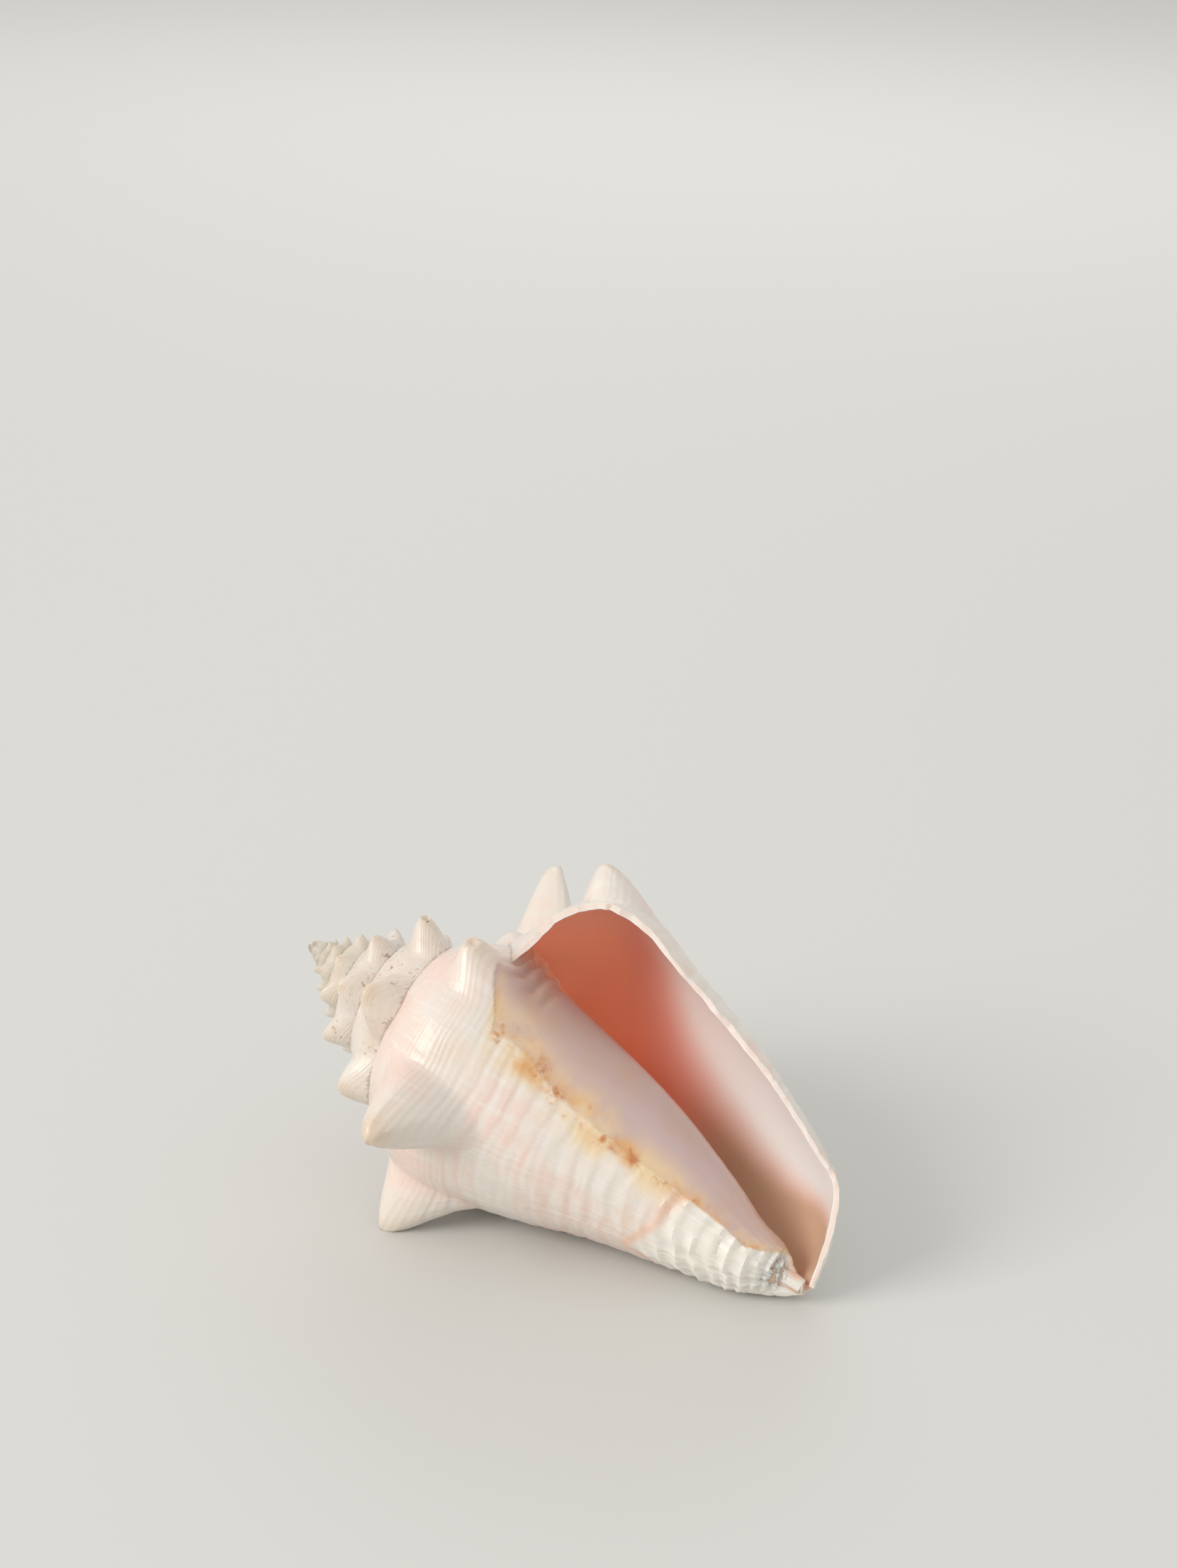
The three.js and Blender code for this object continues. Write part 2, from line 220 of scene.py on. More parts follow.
SPIRE_OUTLINE = Outline(
    -2.2,
    ((0.181, 0.305), (0.22, 0.333), (0.258, 0.357), (0.284, 0.383), (0.296, 0.415), (0.297, 0.46),
     (0.278, 0.52), (0.248, 0.6), (0.204, 0.68), (0.16, 0.75), (0.12, 0.82), (0.08, 0.88), (0.04, 0.93),
     (0.01, 0.97)),
)
OUTLINES = (
    Outline(-1.75, (
        (0.089, 0.15), (0.108, 0.168), (0.122, 0.184), (0.131, 0.201), (0.136, 0.222), (0.134, 0.252),
        (0.118, 0.31), (0.095, 0.38), (0.07, 0.48), (0.05, 0.58), (0.04, 0.68), (0.033, 0.78),
        (0.025, 0.87), (0.01, 0.93))),
    Outline(-1.35, (
        (0.1047, 0.1764), (0.128, 0.198), (0.144, 0.217), (0.155, 0.237), (0.162, 0.264), (0.163, 0.31),
        (0.15, 0.375), (0.13, 0.44), (0.112, 0.53), (0.092, 0.63), (0.068, 0.73), (0.048, 0.82),
        (0.035, 0.9), (0.01, 0.95))),
    Outline(-1.09, (
        (0.116, 0.196), (0.139, 0.22), (0.158, 0.242), (0.172, 0.265), (0.181, 0.295), (0.182, 0.34),
        (0.17, 0.41), (0.156, 0.49), (0.141, 0.586), (0.119, 0.683), (0.086, 0.785), (0.056, 0.865),
        (0.045, 0.925), (0.012, 0.965))),
    Outline(-0.85, (
        (0.128, 0.216), (0.155, 0.238), (0.178, 0.26), (0.194, 0.288), (0.202, 0.325), (0.198, 0.375),
        (0.183, 0.44), (0.163, 0.51), (0.14, 0.59), (0.118, 0.67), (0.095, 0.76), (0.07, 0.855),
        (0.045, 0.93), (0.012, 0.98))),
    Outline(-0.6, (
        (0.142, 0.244), (0.172, 0.264), (0.192, 0.29), (0.205, 0.32), (0.212, 0.36), (0.208, 0.41),
        (0.192, 0.465), (0.17, 0.54), (0.138, 0.62), (0.113, 0.7), (0.092, 0.79), (0.07, 0.875),
        (0.043, 0.94), (0.01, 0.985))),
    Outline(-0.42, (
        (0.1527, 0.251), (0.186, 0.275), (0.217, 0.305), (0.242, 0.335), (0.254, 0.378), (0.25, 0.435),
        (0.228, 0.5), (0.203, 0.57), (0.17, 0.655), (0.14, 0.735), (0.112, 0.815), (0.082, 0.89),
        (0.048, 0.95), (0.01, 0.985))),
    Outline(-0.25, (
        (0.1635, 0.257), (0.205, 0.284), (0.25, 0.325), (0.288, 0.36), (0.302, 0.405), (0.295, 0.465),
        (0.27, 0.535), (0.24, 0.61), (0.205, 0.7), (0.172, 0.78), (0.14, 0.855), (0.105, 0.92),
        (0.06, 0.97), (0.01, 0.99))),
    Outline(-0.1, (
        (0.177, 0.268), (0.225, 0.298), (0.28, 0.335), (0.325, 0.378), (0.342, 0.425), (0.335, 0.49),
        (0.31, 0.565), (0.285, 0.64), (0.255, 0.725), (0.225, 0.8), (0.19, 0.875), (0.145, 0.935),
        (0.08, 0.978), (0.01, 0.995))),
    Outline(0.0, (
        (0.1812, 0.3199), (0.242, 0.3432), (0.3055, 0.3642), (0.3535, 0.4025), (0.3754, 0.4415),
        (0.3747, 0.5072), (0.3472, 0.5957), (0.322, 0.6739), (0.2886, 0.7686), (0.2594, 0.8293),
        (0.2223, 0.8994), (0.1877, 0.9529), (0.1028, 0.9802), (0.01, 0.9936))),
)


@dataclass(frozen=True)
class Spine:
    """One spine on the shoulder."""

    whorl: float  # where its middle stands in the growth
    along: float  # and along the outline
    radius: float  # mm from the axis to its tip
    drop: float  # mm from the apex to its tip
    wide: float  # half width in whorls
    tall: float  # half width along the outline
    taper: float  # above 1 its flanks are hollow, below 1 they bulge
    tall_after: float = 0.0  # the same towards the canal, where that side is steeper
    crater: float = 0.0  # how deep its broken tip is hollow, as a share of its length
    crater_width: float = 0.09  # of its tip, as a share of the spine's width
    hollow: float = 0.0  # share of it that shows on the inside of the wall
    ridge: float = 0.0  # how strong the folds down its flank are


SPINES = (
    Spine(-2.19, 0.31, 28.6, 26.0, 0.07, 0.2, 0.95, crater=0.1),
    Spine(-2.014, 0.31, 28.0, 27.0, 0.06, 0.2, 0.6, crater=0.4, crater_width=0.13),
    Spine(-1.836, 0.33, 30.6, 31.0, 0.075, 0.2, 0.85),
    Spine(-1.664, 0.33, 31.0, 35.6, 0.075, 0.2, 0.85),
    Spine(-1.49, 0.33, 34.6, 38.0, 0.075, 0.2, 0.85),
    Spine(-1.32, 0.33, 37.6, 40.0, 0.075, 0.2, 0.85),
    Spine(-1.145, 0.33, 37.6, 45.0, 0.075, 0.2, 1.0),
    Spine(-0.955, 0.31, 39.8, 47.0, 0.058, 0.15, 1.1, crater=0.2, crater_width=0.1),
    Spine(-0.755, 0.32, 58.5, 59.5, 0.05, 0.16, 0.9, ridge=0.8),
    Spine(-0.57, 0.33, 53.8, 62.0, 0.044, 0.15, 1.1, ridge=0.5),
    Spine(-0.385, 0.33, 57.0, 62.0, 0.07, 0.2, 1.35, ridge=0.5),
    Spine(-0.18, 0.13, 70.0, 34.5, 0.036, 0.14, 1.25, tall_after=0.08, crater=0.16, crater_width=0.1,
          ridge=0.3),
    Spine(-0.052, 0.25, 65.5, 61.5, 0.04, 0.065, 0.5, tall_after=0.13, hollow=0.4),
)


LARGEST_KNOB = Spine(-2.19, 0.31, 25.0, 25.4, 0.066, 0.2, 0.95)


def spire_knobs(first: float = -2.36, spacing: float = 0.15, count: int = 36) -> tuple[Spine, ...]:
    """The small knobs of the spire, each a scaled copy of one knob.

    Args:
        first: Whorl count of the largest.
        spacing: Whorls between them.
        count: How many.

    Returns:
        The knobs, largest first.
    """
    knobs = []
    for step in range(count):
        whorl = first - spacing * step
        scale = GROWTH ** (whorl - LARGEST_KNOB.whorl)
        radius, drop = LARGEST_KNOB.radius * scale, LARGEST_KNOB.drop * scale
        knobs.append(replace(LARGEST_KNOB, whorl=whorl, radius=radius, drop=drop))
    return tuple(knobs)


@dataclass
class ShellForm:
    """The shell's surface as a function of growth.

    A place on the wall is (whorl, along, depth): how many whorls before the lip, how far along the outline
    from the suture to the canal, and how deep in the wall, 0 outside and 1 on the hollow's side.
    """

    wall: float = 3.2  # mm
    lip: float = 1.35  # mm, thickness of the wall near its edge
    lip_taper: float = 0.3  # whorls over which the wall thins towards the lip
    lip_edge: float = 0.004  # whorls over which the very edge is rounded off
    edge_share: float = 0.35  # thickness left at the very edge
    tip_rounding: float = 0.16
    swell_power: float = 0.35  # how much a spine's root spreads
    rib: float = 0.03  # height of a spine's folds, as a share of its length
    suture_overlap: float = 1.6  # mm by which a whorl sinks into the one before
    suture_lean: tuple[float, float] = (0.928, 0.371)  # direction it sinks in: towards the axis, and down
    axis_gap: float = 1.0  # mm
    slope_step: float = 0.01  # along the outline, for reading its slope

    def __post_init__(self) -> None:
        """Prepares the outlines and the spines."""
        keyed = [SPIRE_OUTLINE, *OUTLINES]
        self.knots = np.array([key.whorl for key in keyed])
        sizes = [1.0, *(GROWTH**key.whorl for key in OUTLINES)]
        self.shapes = np.array([np.array(key.points) / size for key, size in zip(keyed, sizes)])
        self.stations = np.linspace(0.0, 1.0, self.shapes.shape[1])
        self.spines = SPINES + spire_knobs()

    def outline(self, whorl: np.ndarray, along: np.ndarray) -> tuple[np.ndarray, np.ndarray]:
        """The smooth wall without its spines.

        Args:
            whorl: Whorl counts.
            along: Places along the outline, paired with them.

        Returns:
            Radius from the axis and distance from the apex, mm.
        """
        by_whorl = blend_weights(np.clip(whorl, self.knots[0], 0.0), self.knots)
        by_along = blend_weights(np.clip(along, 0.0, 1.0), self.stations)
        scale = GROWTH**whorl * LENGTH
        radius = np.einsum("nk,km,nm->n", by_whorl, self.shapes[..., 0], by_along, optimize=True)
        drop = np.einsum("nk,km,nm->n", by_whorl, self.shapes[..., 1], by_along, optimize=True)
        return radius * scale, drop * scale

    def spine_reach(self, whorl: np.ndarray, along: np.ndarray, spine: Spine) -> np.ndarray:
        """How far towards its tip a spine lifts each place.

        Args:
            whorl: Whorl counts.
            along: Places along the outline.
            spine: The spine.

        Returns:
            1 at its tip, 0 outside it.
        """
        tall = np.where(along > spine.along, spine.tall_after or spine.tall, spine.tall)
        distance = np.hypot((whorl - spine.whorl) / spine.wide, (along - spine.along) / tall)
        distance = np.minimum(distance, 1.0)
        soft = self.tip_rounding
        rounded = (np.hypot(distance, soft) - soft) / (math.hypot(1.0, soft) - soft)
        rest = 1.0 - rounded
        lift = rest**spine.taper * smooth(0.0, 1.0, rest) ** self.swell_power
        if spine.ridge:
            angle = np.arctan2((along - spine.along) / tall, (whorl - spine.whorl) / spine.wide)
            ribs = np.cos(5.0 * angle + 1.2) + 0.5 * np.cos(11.0 * angle + 0.4)
            flank = np.clip(lift, 0.0, 1.0) * smooth(0.03, 0.25, distance)
            lift = lift + self.rib * spine.ridge * ribs * flank
        return lift - spine.crater * np.exp(-((distance / spine.crater_width) ** 4))

    def azimuth(self, whorl: np.ndarray) -> np.ndarray:
        """Turn round the axis, in radians."""
        return math.radians(LIP_AZIMUTH) - 2.0 * math.pi * whorl

    def base(self, whorl: np.ndarray, along: np.ndarray, side: Side) -> np.ndarray:
        """Places on one side of the wall, before the fine relief.

        Args:
            whorl: Whorl counts.
            along: Places along the outline.
            side: Which side of the wall.

        Returns:
            Points in the coiling frame, mm, apex up.
        """
        radius, drop = self.outline(whorl, along)
        turn = self.azimuth(whorl)
        for spine in self.spines:
            share = spine.hollow if side is Side.INSIDE else 1.0
            near = np.abs(whorl - spine.whorl) < spine.wide
            if share == 0.0 or not near.any():
                continue
            reach = share * self.spine_reach(whorl[near], along[near], spine)
            root_radius, root_drop = self.outline(np.array([spine.whorl]), np.array([spine.along]))
            radius[near] += reach * (spine.radius - root_radius[0])
            drop[near] += reach * (spine.drop - root_drop[0])
        if side is Side.INSIDE:
            ahead = self.outline(whorl, np.minimum(along + self.slope_step, 1.0))
            behind = self.outline(whorl, np.maximum(along - self.slope_step, 0.0))
            run, fall = ahead[0] - behind[0], ahead[1] - behind[1]
            length = np.hypot(run, fall) + 1e-9
            thick = self.thickness(whorl)
            radius = np.maximum(radius - thick * fall / length, self.axis_gap)
            drop = drop + thick * run / length
        return np.stack([radius * np.cos(turn), radius * np.sin(turn), LENGTH - drop], axis=1)

    def thickness(self, whorl: np.ndarray) -> np.ndarray:
        """Thickness of the wall, thinner towards the lip and rounded off at its very edge.

        Args:
            whorl: Whorl counts, 0 at the lip.

        Returns:
            Thicknesses in mm.
        """
        body = self.lip + (self.wall - self.lip) * smooth(0.0, self.lip_taper, -whorl)
        rounded = np.sqrt(np.clip(-whorl / self.lip_edge, 0.0, 1.0))
        return body * (self.edge_share + (1.0 - self.edge_share) * rounded)


# ---------------------------------------------------------------------------------------------- relief


@dataclass(frozen=True)
class Glaze:
    """Where the glossy glaze lies over the wall beside the opening, and how it ends."""

    edge_along: tuple[float, ...] = (
        0.0, 0.33, 0.36, 0.385, 0.41, 0.45, 0.51, 0.56, 0.64, 0.7, 0.78, 0.83, 0.87, 0.9, 0.925, 0.94, 1.0)
    edge_whorl: tuple[float, ...] = (
        -1.1, -1.03, -0.985, -0.925, -0.887, -0.893, -0.886, -0.877, -0.865, -0.866, -0.868, -0.862, -0.85,
        -0.89, -0.975, -1.08, -1.12)
    wander: float = 0.007  # whorls by which the edge strays
    fringe: float = 0.003  # whorls by which it is frayed

    def past_edge(self, whorl: np.ndarray, along: np.ndarray) -> np.ndarray:
        """How far each place lies inside the glaze's edge.

        Args:
            whorl: Whorl counts.
            along: Places along the outline.

        Returns:
            Whorls past the edge, less than 0 outside it.
        """
        edge = np.interp(along, self.edge_along, self.edge_whorl)
        stray = self.wander * drift(along, whorl, (14.0, 4.0), 5, 3)
        return edge - whorl + stray + self.fringe * drift(along, whorl, (60.0, 30.0), 6)


@dataclass(frozen=True)
class Relief:
    """The fine relief of the skin, as heights in mm."""

    full_size: float = 0.6  # whorls before the lip from which the relief has its full height
    cords: int = 30
    cord_height: float = 0.38
    canal_cord_height: float = 0.45
    ramp_cords: int = 30
    ramp_height: float = 0.05
    shoulder: float = 0.3  # where along the outline the ramp ends
    swell: float = 0.35
    growth_height: float = 0.1
    glaze_height: float = 0.4
    glaze_end: float = 0.9
    fold_height: float = 0.5
    fold_pitch: float = 0.03
    pleats: int = 44
    pleat_height: float = 1.2
    pleat_step: float = 0.5
    pleat_base: float = -0.4
    blunt_end: float = 3.0
    inner_cord: float = 0.07
    inner_swell: float = 0.2

    def outside(self, whorl: np.ndarray, along: np.ndarray, glaze: np.ndarray) -> np.ndarray:
        """Height of the outside above the smooth wall.

        Args:
            whorl: Whorl counts.
            along: Places along the outline.
            glaze: How much glaze covers each place, 0 to 1.

        Returns:
            Heights in mm.
        """
        scale = np.clip(GROWTH ** (whorl + self.full_size), 0.05, 1.0)
        wander = 0.35 * drift(whorl, along, (9.0, 9.0), 11)
        turns = 2.0 * math.pi * (self.cords * along + wander)
        cord = 0.5 + 0.35 * np.cos(turns) + 0.2 * np.cos(2.0 * turns + 0.8) + 0.12 * np.cos(3.0 * turns)
        strength = self.cord_height * smooth(0.34, 0.46, along)
        strength = strength + (self.canal_cord_height - self.cord_height) * smooth(0.66, 0.86, along)
        strength = strength * (0.75 + 0.5 * drift(whorl, along, (22.0, 30.0), 12))
        ramp = 0.5 + 0.5 * np.cos(2.0 * math.pi * (self.ramp_cords / self.shoulder * along + wander))
        height = cord * strength + self.ramp_height * ramp * (1.0 - smooth(0.28, 0.34, along))
        lines = noise(np.stack([whorl * 190.0 + 3.0 * along, along * 5.0], axis=1), 13, 3)
        rest_marks = noise(np.stack([whorl * 34.0 + 1.2 * along, along * 2.0], axis=1), 14, 2)
        height = height + self.growth_height * (lines + 1.2 * rest_marks)
        height = height * (1.0 - 0.85 * glaze)
        height = height + self.swell * drift(whorl, along, (17.0, 11.0), 15)
        height = height + (self.glaze_height + self.glaze_end * smooth(0.8, 0.9, along)) * glaze
        height = height + self.canal_end(whorl, along) * (1.0 - 0.8 * glaze)
        return scale * height + self.folds(whorl, along)

    def canal_end(self, whorl: np.ndarray, along: np.ndarray) -> np.ndarray:
        """The blunt, pleated end of the canal.

        Args:
            whorl: Whorl counts.
            along: Places along the outline.

        Returns:
            Heights in mm.
        """
        place = smooth(-1.12, -1.04, whorl) * (1.0 - smooth(-0.62, -0.5, whorl))
        bend = 0.5 * drift(whorl, along, (12.0, 12.0), 23)
        pleat = self.pleat_height * np.abs(np.cos(math.pi * (self.pleats * along + bend)))
        step = self.pleat_step * drift(whorl, along, (60.0, 14.0), 24)
        blunt = self.blunt_end * smooth(0.86, 0.95, along)
        return place * (blunt + smooth(0.7, 0.8, along) * (pleat + step + self.pleat_base))

    def folds(self, whorl: np.ndarray, along: np.ndarray) -> np.ndarray:
        """The few short folds high in the opening.

        Args:
            whorl: Whorl counts.
            along: Places along the outline.

        Returns:
            Heights in mm.
        """
        place = smooth(0.35, 0.38, along) * (1.0 - smooth(0.44, 0.48, along))
        place = place * smooth(-1.16, -1.1, whorl) * (1.0 - smooth(-0.99, -0.955, whorl))
        bend = 0.3 * drift(whorl, along, (30.0, 10.0), 21)
        return self.fold_height * place * np.cos(2.0 * math.pi * (along / self.fold_pitch + bend))

    def inside(self, whorl: np.ndarray, along: np.ndarray) -> np.ndarray:
        """Height of the inside above its smooth wall."""
        ridge = np.cos(2.0 * math.pi * self.cords * along) * smooth(-0.1, -0.01, whorl)
        return self.inner_cord * ridge + self.inner_swell * drift(whorl, along, (12.0, 9.0), 16)


# ---------------------------------------------------------------------------------------------- meshes


@dataclass(frozen=True)
class Stretch:
    """A length of growth that is lofted at once, less than a whorl so that it never meets itself."""

    start: float
    end: float
    hollow: bool


def closed_stretches(last: float, whorls: float, count: int) -> tuple[Stretch, ...]:
    """The closed stretches of the spire.

    Args:
        last: Whorl count where the latest of them ends.
        whorls: Length of each.
        count: How many.

    Returns:
        The stretches, latest first.
    """
    ends = [round(last - whorls * k, 2) for k in range(count + 1)]
    return tuple(Stretch(start, end, False) for end, start in zip(ends, ends[1:]))


@dataclass
class SkinSamples:
    """Places on the skin with what is known of each."""

    points: np.ndarray
    whorl: np.ndarray
    along: np.ndarray
    inside: np.ndarray


@dataclass
class ShellBody:
    """The shell's solid body: lofts along the growth, joined to each other and to the middle pillar."""

    form: ShellForm
    relief: Relief
    glaze: Glaze
    cell: float = 1.05  # mm between places on the skin
    shoulder_radius: float = 55.0  # mm, of the last whorl
    closed_share: float = 0.7  # sections kept on the closed stretches
    early_share: float = 0.55  # early whorls keep fewer sections than their size asks for
    snap: float = 0.02  # whorls within which a section moves onto a spine's middle
    tuck: float = 0.004  # whorls by which a stretch reaches back into the one before
    tuck_depth: float = 0.25  # mm by which it is drawn in there
    seam_depth: float = 0.02  # mm by which it is drawn in at its start
    edge_round: float = 0.0035  # whorls over which the lip is rounded
    edge_steps: tuple[float, ...] = (1.0, 0.72, 0.5, 0.32, 0.18, 0.08, 0.0)
    ragged_lip: float = 0.004  # whorls by which the lip's edge wavers
    chip: float = 0.006  # whorls by which its chips reach back
    pillar_turns: int = 20
    stretches: tuple[Stretch, ...] = (
        Stretch(-0.43, 0.0, True),
        Stretch(-1.37, -0.43, True),
        *closed_stretches(-1.37, 0.92, 7),
    )
    pillar: tuple[tuple[float, float], ...] = (
        (0.0, -0.4), (1.1, -0.1), (1.9, 0.8), (2.4, 2.4), (2.6, 5.0), (2.6, 9.0), (3.0, 60.0), (3.2, 110.0),
        (2.8, 150.0), (2.2, 166.0), (0.0, 167.0))

    def whorl_stations(self, stretch: Stretch) -> np.ndarray:
        """Whorl counts of a stretch's sections, about one cell apart on the shoulder.

        Args:
            stretch: The stretch.

        Returns:
            Whorl counts in rising order.
        """
        rate = math.log(GROWTH) * self.early_share
        reach = 2.0 * math.pi * self.shoulder_radius / rate / self.cell
        reach *= 1.0 if stretch.hollow else self.closed_share
        low, high = reach * math.exp(rate * stretch.start), reach * math.exp(rate * stretch.end)
        count = int(high - low) + 2
        stations = np.log(np.linspace(low, high, count) / reach) / rate
        stations[0], stations[-1] = stretch.start, stretch.end
        for spine in self.form.spines:
            near = int(np.argmin(np.abs(stations - spine.whorl)))
            if 0 < near < count - 1 and abs(stations[near] - spine.whorl) < self.snap:
                stations[near] = spine.whorl
        if stretch.end == 0.0:
            stations = stations[stations < -self.edge_round * 1.6]
            stations = np.concatenate([stations, -self.edge_round * np.array(self.edge_steps)])
        return stations

    def along_stations(self, hollow: bool) -> np.ndarray:
        """Places along the outline, an odd number, closer where the spines stand.

        Args:
            hollow: Whether the stretch is open inside; a closed one needs few places on its buried side.

        Returns:
            Places in rising order.
        """
        fine = np.linspace(0.0, 1.0, 2001)
        radius, drop = self.form.outline(np.full(fine.shape, -0.25), fine)
        density = np.hypot(np.gradient(radius), np.gradient(drop)) * (1.0 + 0.9 * bell(fine, 0.29, 0.13))
        if not hollow:
            density = density * (0.75 - 0.62 * smooth(0.42, 0.5, fine))
        length = np.concatenate([[0.0], np.cumsum(density[1:])])
        count = 2 * int(length[-1] / self.cell / 2.0) + 1
        return np.interp(np.linspace(0.0, length[-1], count), length, fine)

    def skin(self, whorl: np.ndarray, along: np.ndarray, side: Side, hollow: bool) -> np.ndarray:
        """Places of one side's grid with its relief.

        Args:
            whorl: Whorl counts of the sections.
            along: Places along each section.
            side: Which side of the wall.
            hollow: Whether the stretch is open inside; a closed one runs in to the axis instead.

        Returns:
            Points, one row of the grid per section.
        """
        shape = (len(whorl), len(along))
        w, a = (grid.ravel() for grid in np.meshgrid(whorl, along, indexing="ij"))
        ragged = self.ragged_lip * noise(a[:, None] * 55.0, 31, 4)
        ragged = ragged - self.chip * smooth(0.55, 0.8, noise(a[:, None] * 23.0 + 4.0, 33, 2))
        moved = w + (ragged - self.ragged_lip) * smooth(-0.05, 0.0, w)
        points = self.form.base(moved, a, side)
        if side is Side.INSIDE and not hollow:
            outer = self.form.base(moved, a, Side.OUTSIDE)
            radius = np.hypot(outer[:, 0], outer[:, 1])
            share = np.minimum(self.form.axis_gap, 0.3 * radius) / radius
            return (outer * np.stack([share, share, np.ones_like(share)], axis=1)).reshape(*shape, 3)
        if side is Side.OUTSIDE:
            turn = self.form.azimuth(moved)
            inward, down = self.form.suture_lean
            sink = np.stack([inward * np.cos(turn), inward * np.sin(turn), np.full(turn.shape, down)], axis=1)
            overlap = np.minimum(1.0, GROWTH ** (w + 1.0)) * np.clip(1.0 - a / 0.05, 0.0, 1.0)
            points = points - self.form.suture_overlap * overlap[:, None] * sink
        grid = points.reshape(*shape, 3)
        outward = np.cross(np.gradient(grid, axis=1), np.gradient(grid, axis=0))
        outward /= np.linalg.norm(outward, axis=2, keepdims=True) + 1e-12
        if side is Side.OUTSIDE:
            cover = smooth(-0.004, 0.012, self.glaze.past_edge(w, a))
            height = self.relief.outside(w, a, cover)
        else:
            height = -self.relief.inside(w, a)
        turned = np.clip((w + self.edge_round) / self.edge_round, 0.0, 1.0)
        thin = (1.0 - np.sqrt(1.0 - 0.97 * turned**2)) * 0.5 * self.form.thickness(w)
        height = height - (thin if side is Side.OUTSIDE else -thin)
        height = height * smooth(0.0, 0.02, a) * (1.0 - smooth(0.985, 1.0, a))
        return grid + height.reshape(*shape, 1) * outward

    def loft(self, stretch: Stretch, samples: list[SkinSamples]) -> bpy.types.Object:
        """Builds one stretch as a closed body and adds its skin to the samples.

        Args:
            stretch: The stretch.
            samples: The samples so far; this stretch's are added.

        Returns:
            The closed body.
        """
        whorl = self.whorl_stations(stretch)
        along = self.along_stations(stretch.hollow)
        tucked = stretch.start > self.stretches[-1].start
        back = [stretch.start - self.tuck, stretch.start - self.tuck / 2.0] if tucked else []
        every = np.concatenate([back, whorl])
        outer = self.skin(every, along, Side.OUTSIDE, stretch.hollow)
        inner = self.skin(every, along[::2], Side.INSIDE, stretch.hollow)
        if tucked:
            for row, depth in enumerate((self.tuck_depth, self.tuck_depth / 2.0, self.seam_depth)):
                towards = inner[row][np.repeat(np.arange(inner.shape[1]), 2)[: outer.shape[1]]] - outer[row]
                towards /= np.linalg.norm(towards, axis=1, keepdims=True) + 1e-9
                outer[row] += depth * towards
                inner[row] -= depth * towards[::2]
        for grid, places, side in ((outer, along, Side.OUTSIDE), (inner, along[::2], Side.INSIDE)):
            w, a = (part.ravel() for part in np.meshgrid(every, places, indexing="ij"))
            samples.append(SkinSamples(grid.reshape(-1, 3), w, a, np.full(len(w), side.value)))
        points = np.concatenate([outer, inner[:, ::-1]], axis=1).reshape(-1, 3)
        faces = self.tube_faces(len(every), outer.shape[1] + inner.shape[1], inner.shape[1])
        return solid_object(f"stretch_{stretch.end:.2f}", points, faces)

    @staticmethod
    def tube_faces(rows: int, around: int, inside: int) -> list[tuple[int, ...]]:
        """Faces of a tube with closed ends whose inner side has every second place of the outer one.

        Args:
            rows: Sections.
            around: Places round each section, the outer side first and then the inner side backwards.
            inside: How many of them are on the inner side.

        Returns:
            The faces, as places' numbers.
        """
        ring = np.arange(around)
        here = (np.arange(rows - 1)[:, None] * around + ring[None]).ravel()
        there = (np.arange(rows - 1)[:, None] * around + np.roll(ring, -1)[None]).ravel()
        sides = np.stack([here, there, there + around, here + around], axis=1)
        faces = [tuple(face) for face in sides.tolist()]
        for start, turned in ((0, True), ((rows - 1) * around, False)):
            for k in range(inside - 1):
                a, b, c = start + 2 * k, start + 2 * k + 1, start + 2 * k + 2
                d, e = start + around - 1 - k, start + around - 2 - k
                for face in ((a, b, d), (b, e, d), (b, c, e)):
                    faces.append(face[::-1] if turned else face)
        return faces

    def pillar_object(self) -> bpy.types.Object:
        """The middle pillar that every whorl winds about.

        Returns:
            A closed round body.
        """
        turns = self.pillar_turns
        points = [(0.0, 0.0, LENGTH - self.pillar[0][1])]
        for radius, drop in self.pillar[1:-1]:
            for k in range(turns):
                angle = 2.0 * math.pi * k / turns
                points.append((radius * math.cos(angle), radius * math.sin(angle), LENGTH - drop))
        points.append((0.0, 0.0, LENGTH - self.pillar[-1][1]))
        faces: list[tuple[int, ...]] = []
        rings = len(self.pillar) - 2
        for k in range(turns):
            j = (k + 1) % turns
            faces.append((0, 1 + k, 1 + j))
            faces.append((1 + (rings - 1) * turns + j, 1 + (rings - 1) * turns + k, len(points) - 1))
            for r in range(rings - 1):
                low = 1 + r * turns
                faces.append((low + k, low + turns + k, low + turns + j, low + j))
        return solid_object("pillar", np.array(points), faces)

    def build(self) -> tuple[bpy.types.Object, list[SkinSamples]]:
        """Lofts every stretch and joins them.

        Returns:
            The joined body in the coiling frame, mm, and the samples of its skin.
        """
        samples: list[SkinSamples] = []
        body = self.pillar_object()
        for stretch in reversed(self.stretches):
            piece = self.loft(stretch, samples)
            join(body, piece)
            count = len(body.data.polygons)
            LOG.info("joined stretch %.2f to %.2f: %d faces", stretch.start, stretch.end, count)
        return body, samples


def signed_volume(points: np.ndarray, faces: list[tuple[int, ...]]) -> float:
    """Volume of a closed mesh.

    Args:
        points: Its places.
        faces: Its faces, of three or four places.

    Returns:
        The volume, negative where the faces point in.
    """
    total = 0.0
    for size in (3, 4):
        chosen = np.array([face for face in faces if len(face) == size], dtype=int)
        if not len(chosen):
            continue
        for k in range(1, size - 1):
            a, b, c = points[chosen[:, 0]], points[chosen[:, k]], points[chosen[:, k + 1]]
            total += float(np.einsum("ij,ij->i", a, np.cross(b, c)).sum()) / 6.0
    return total


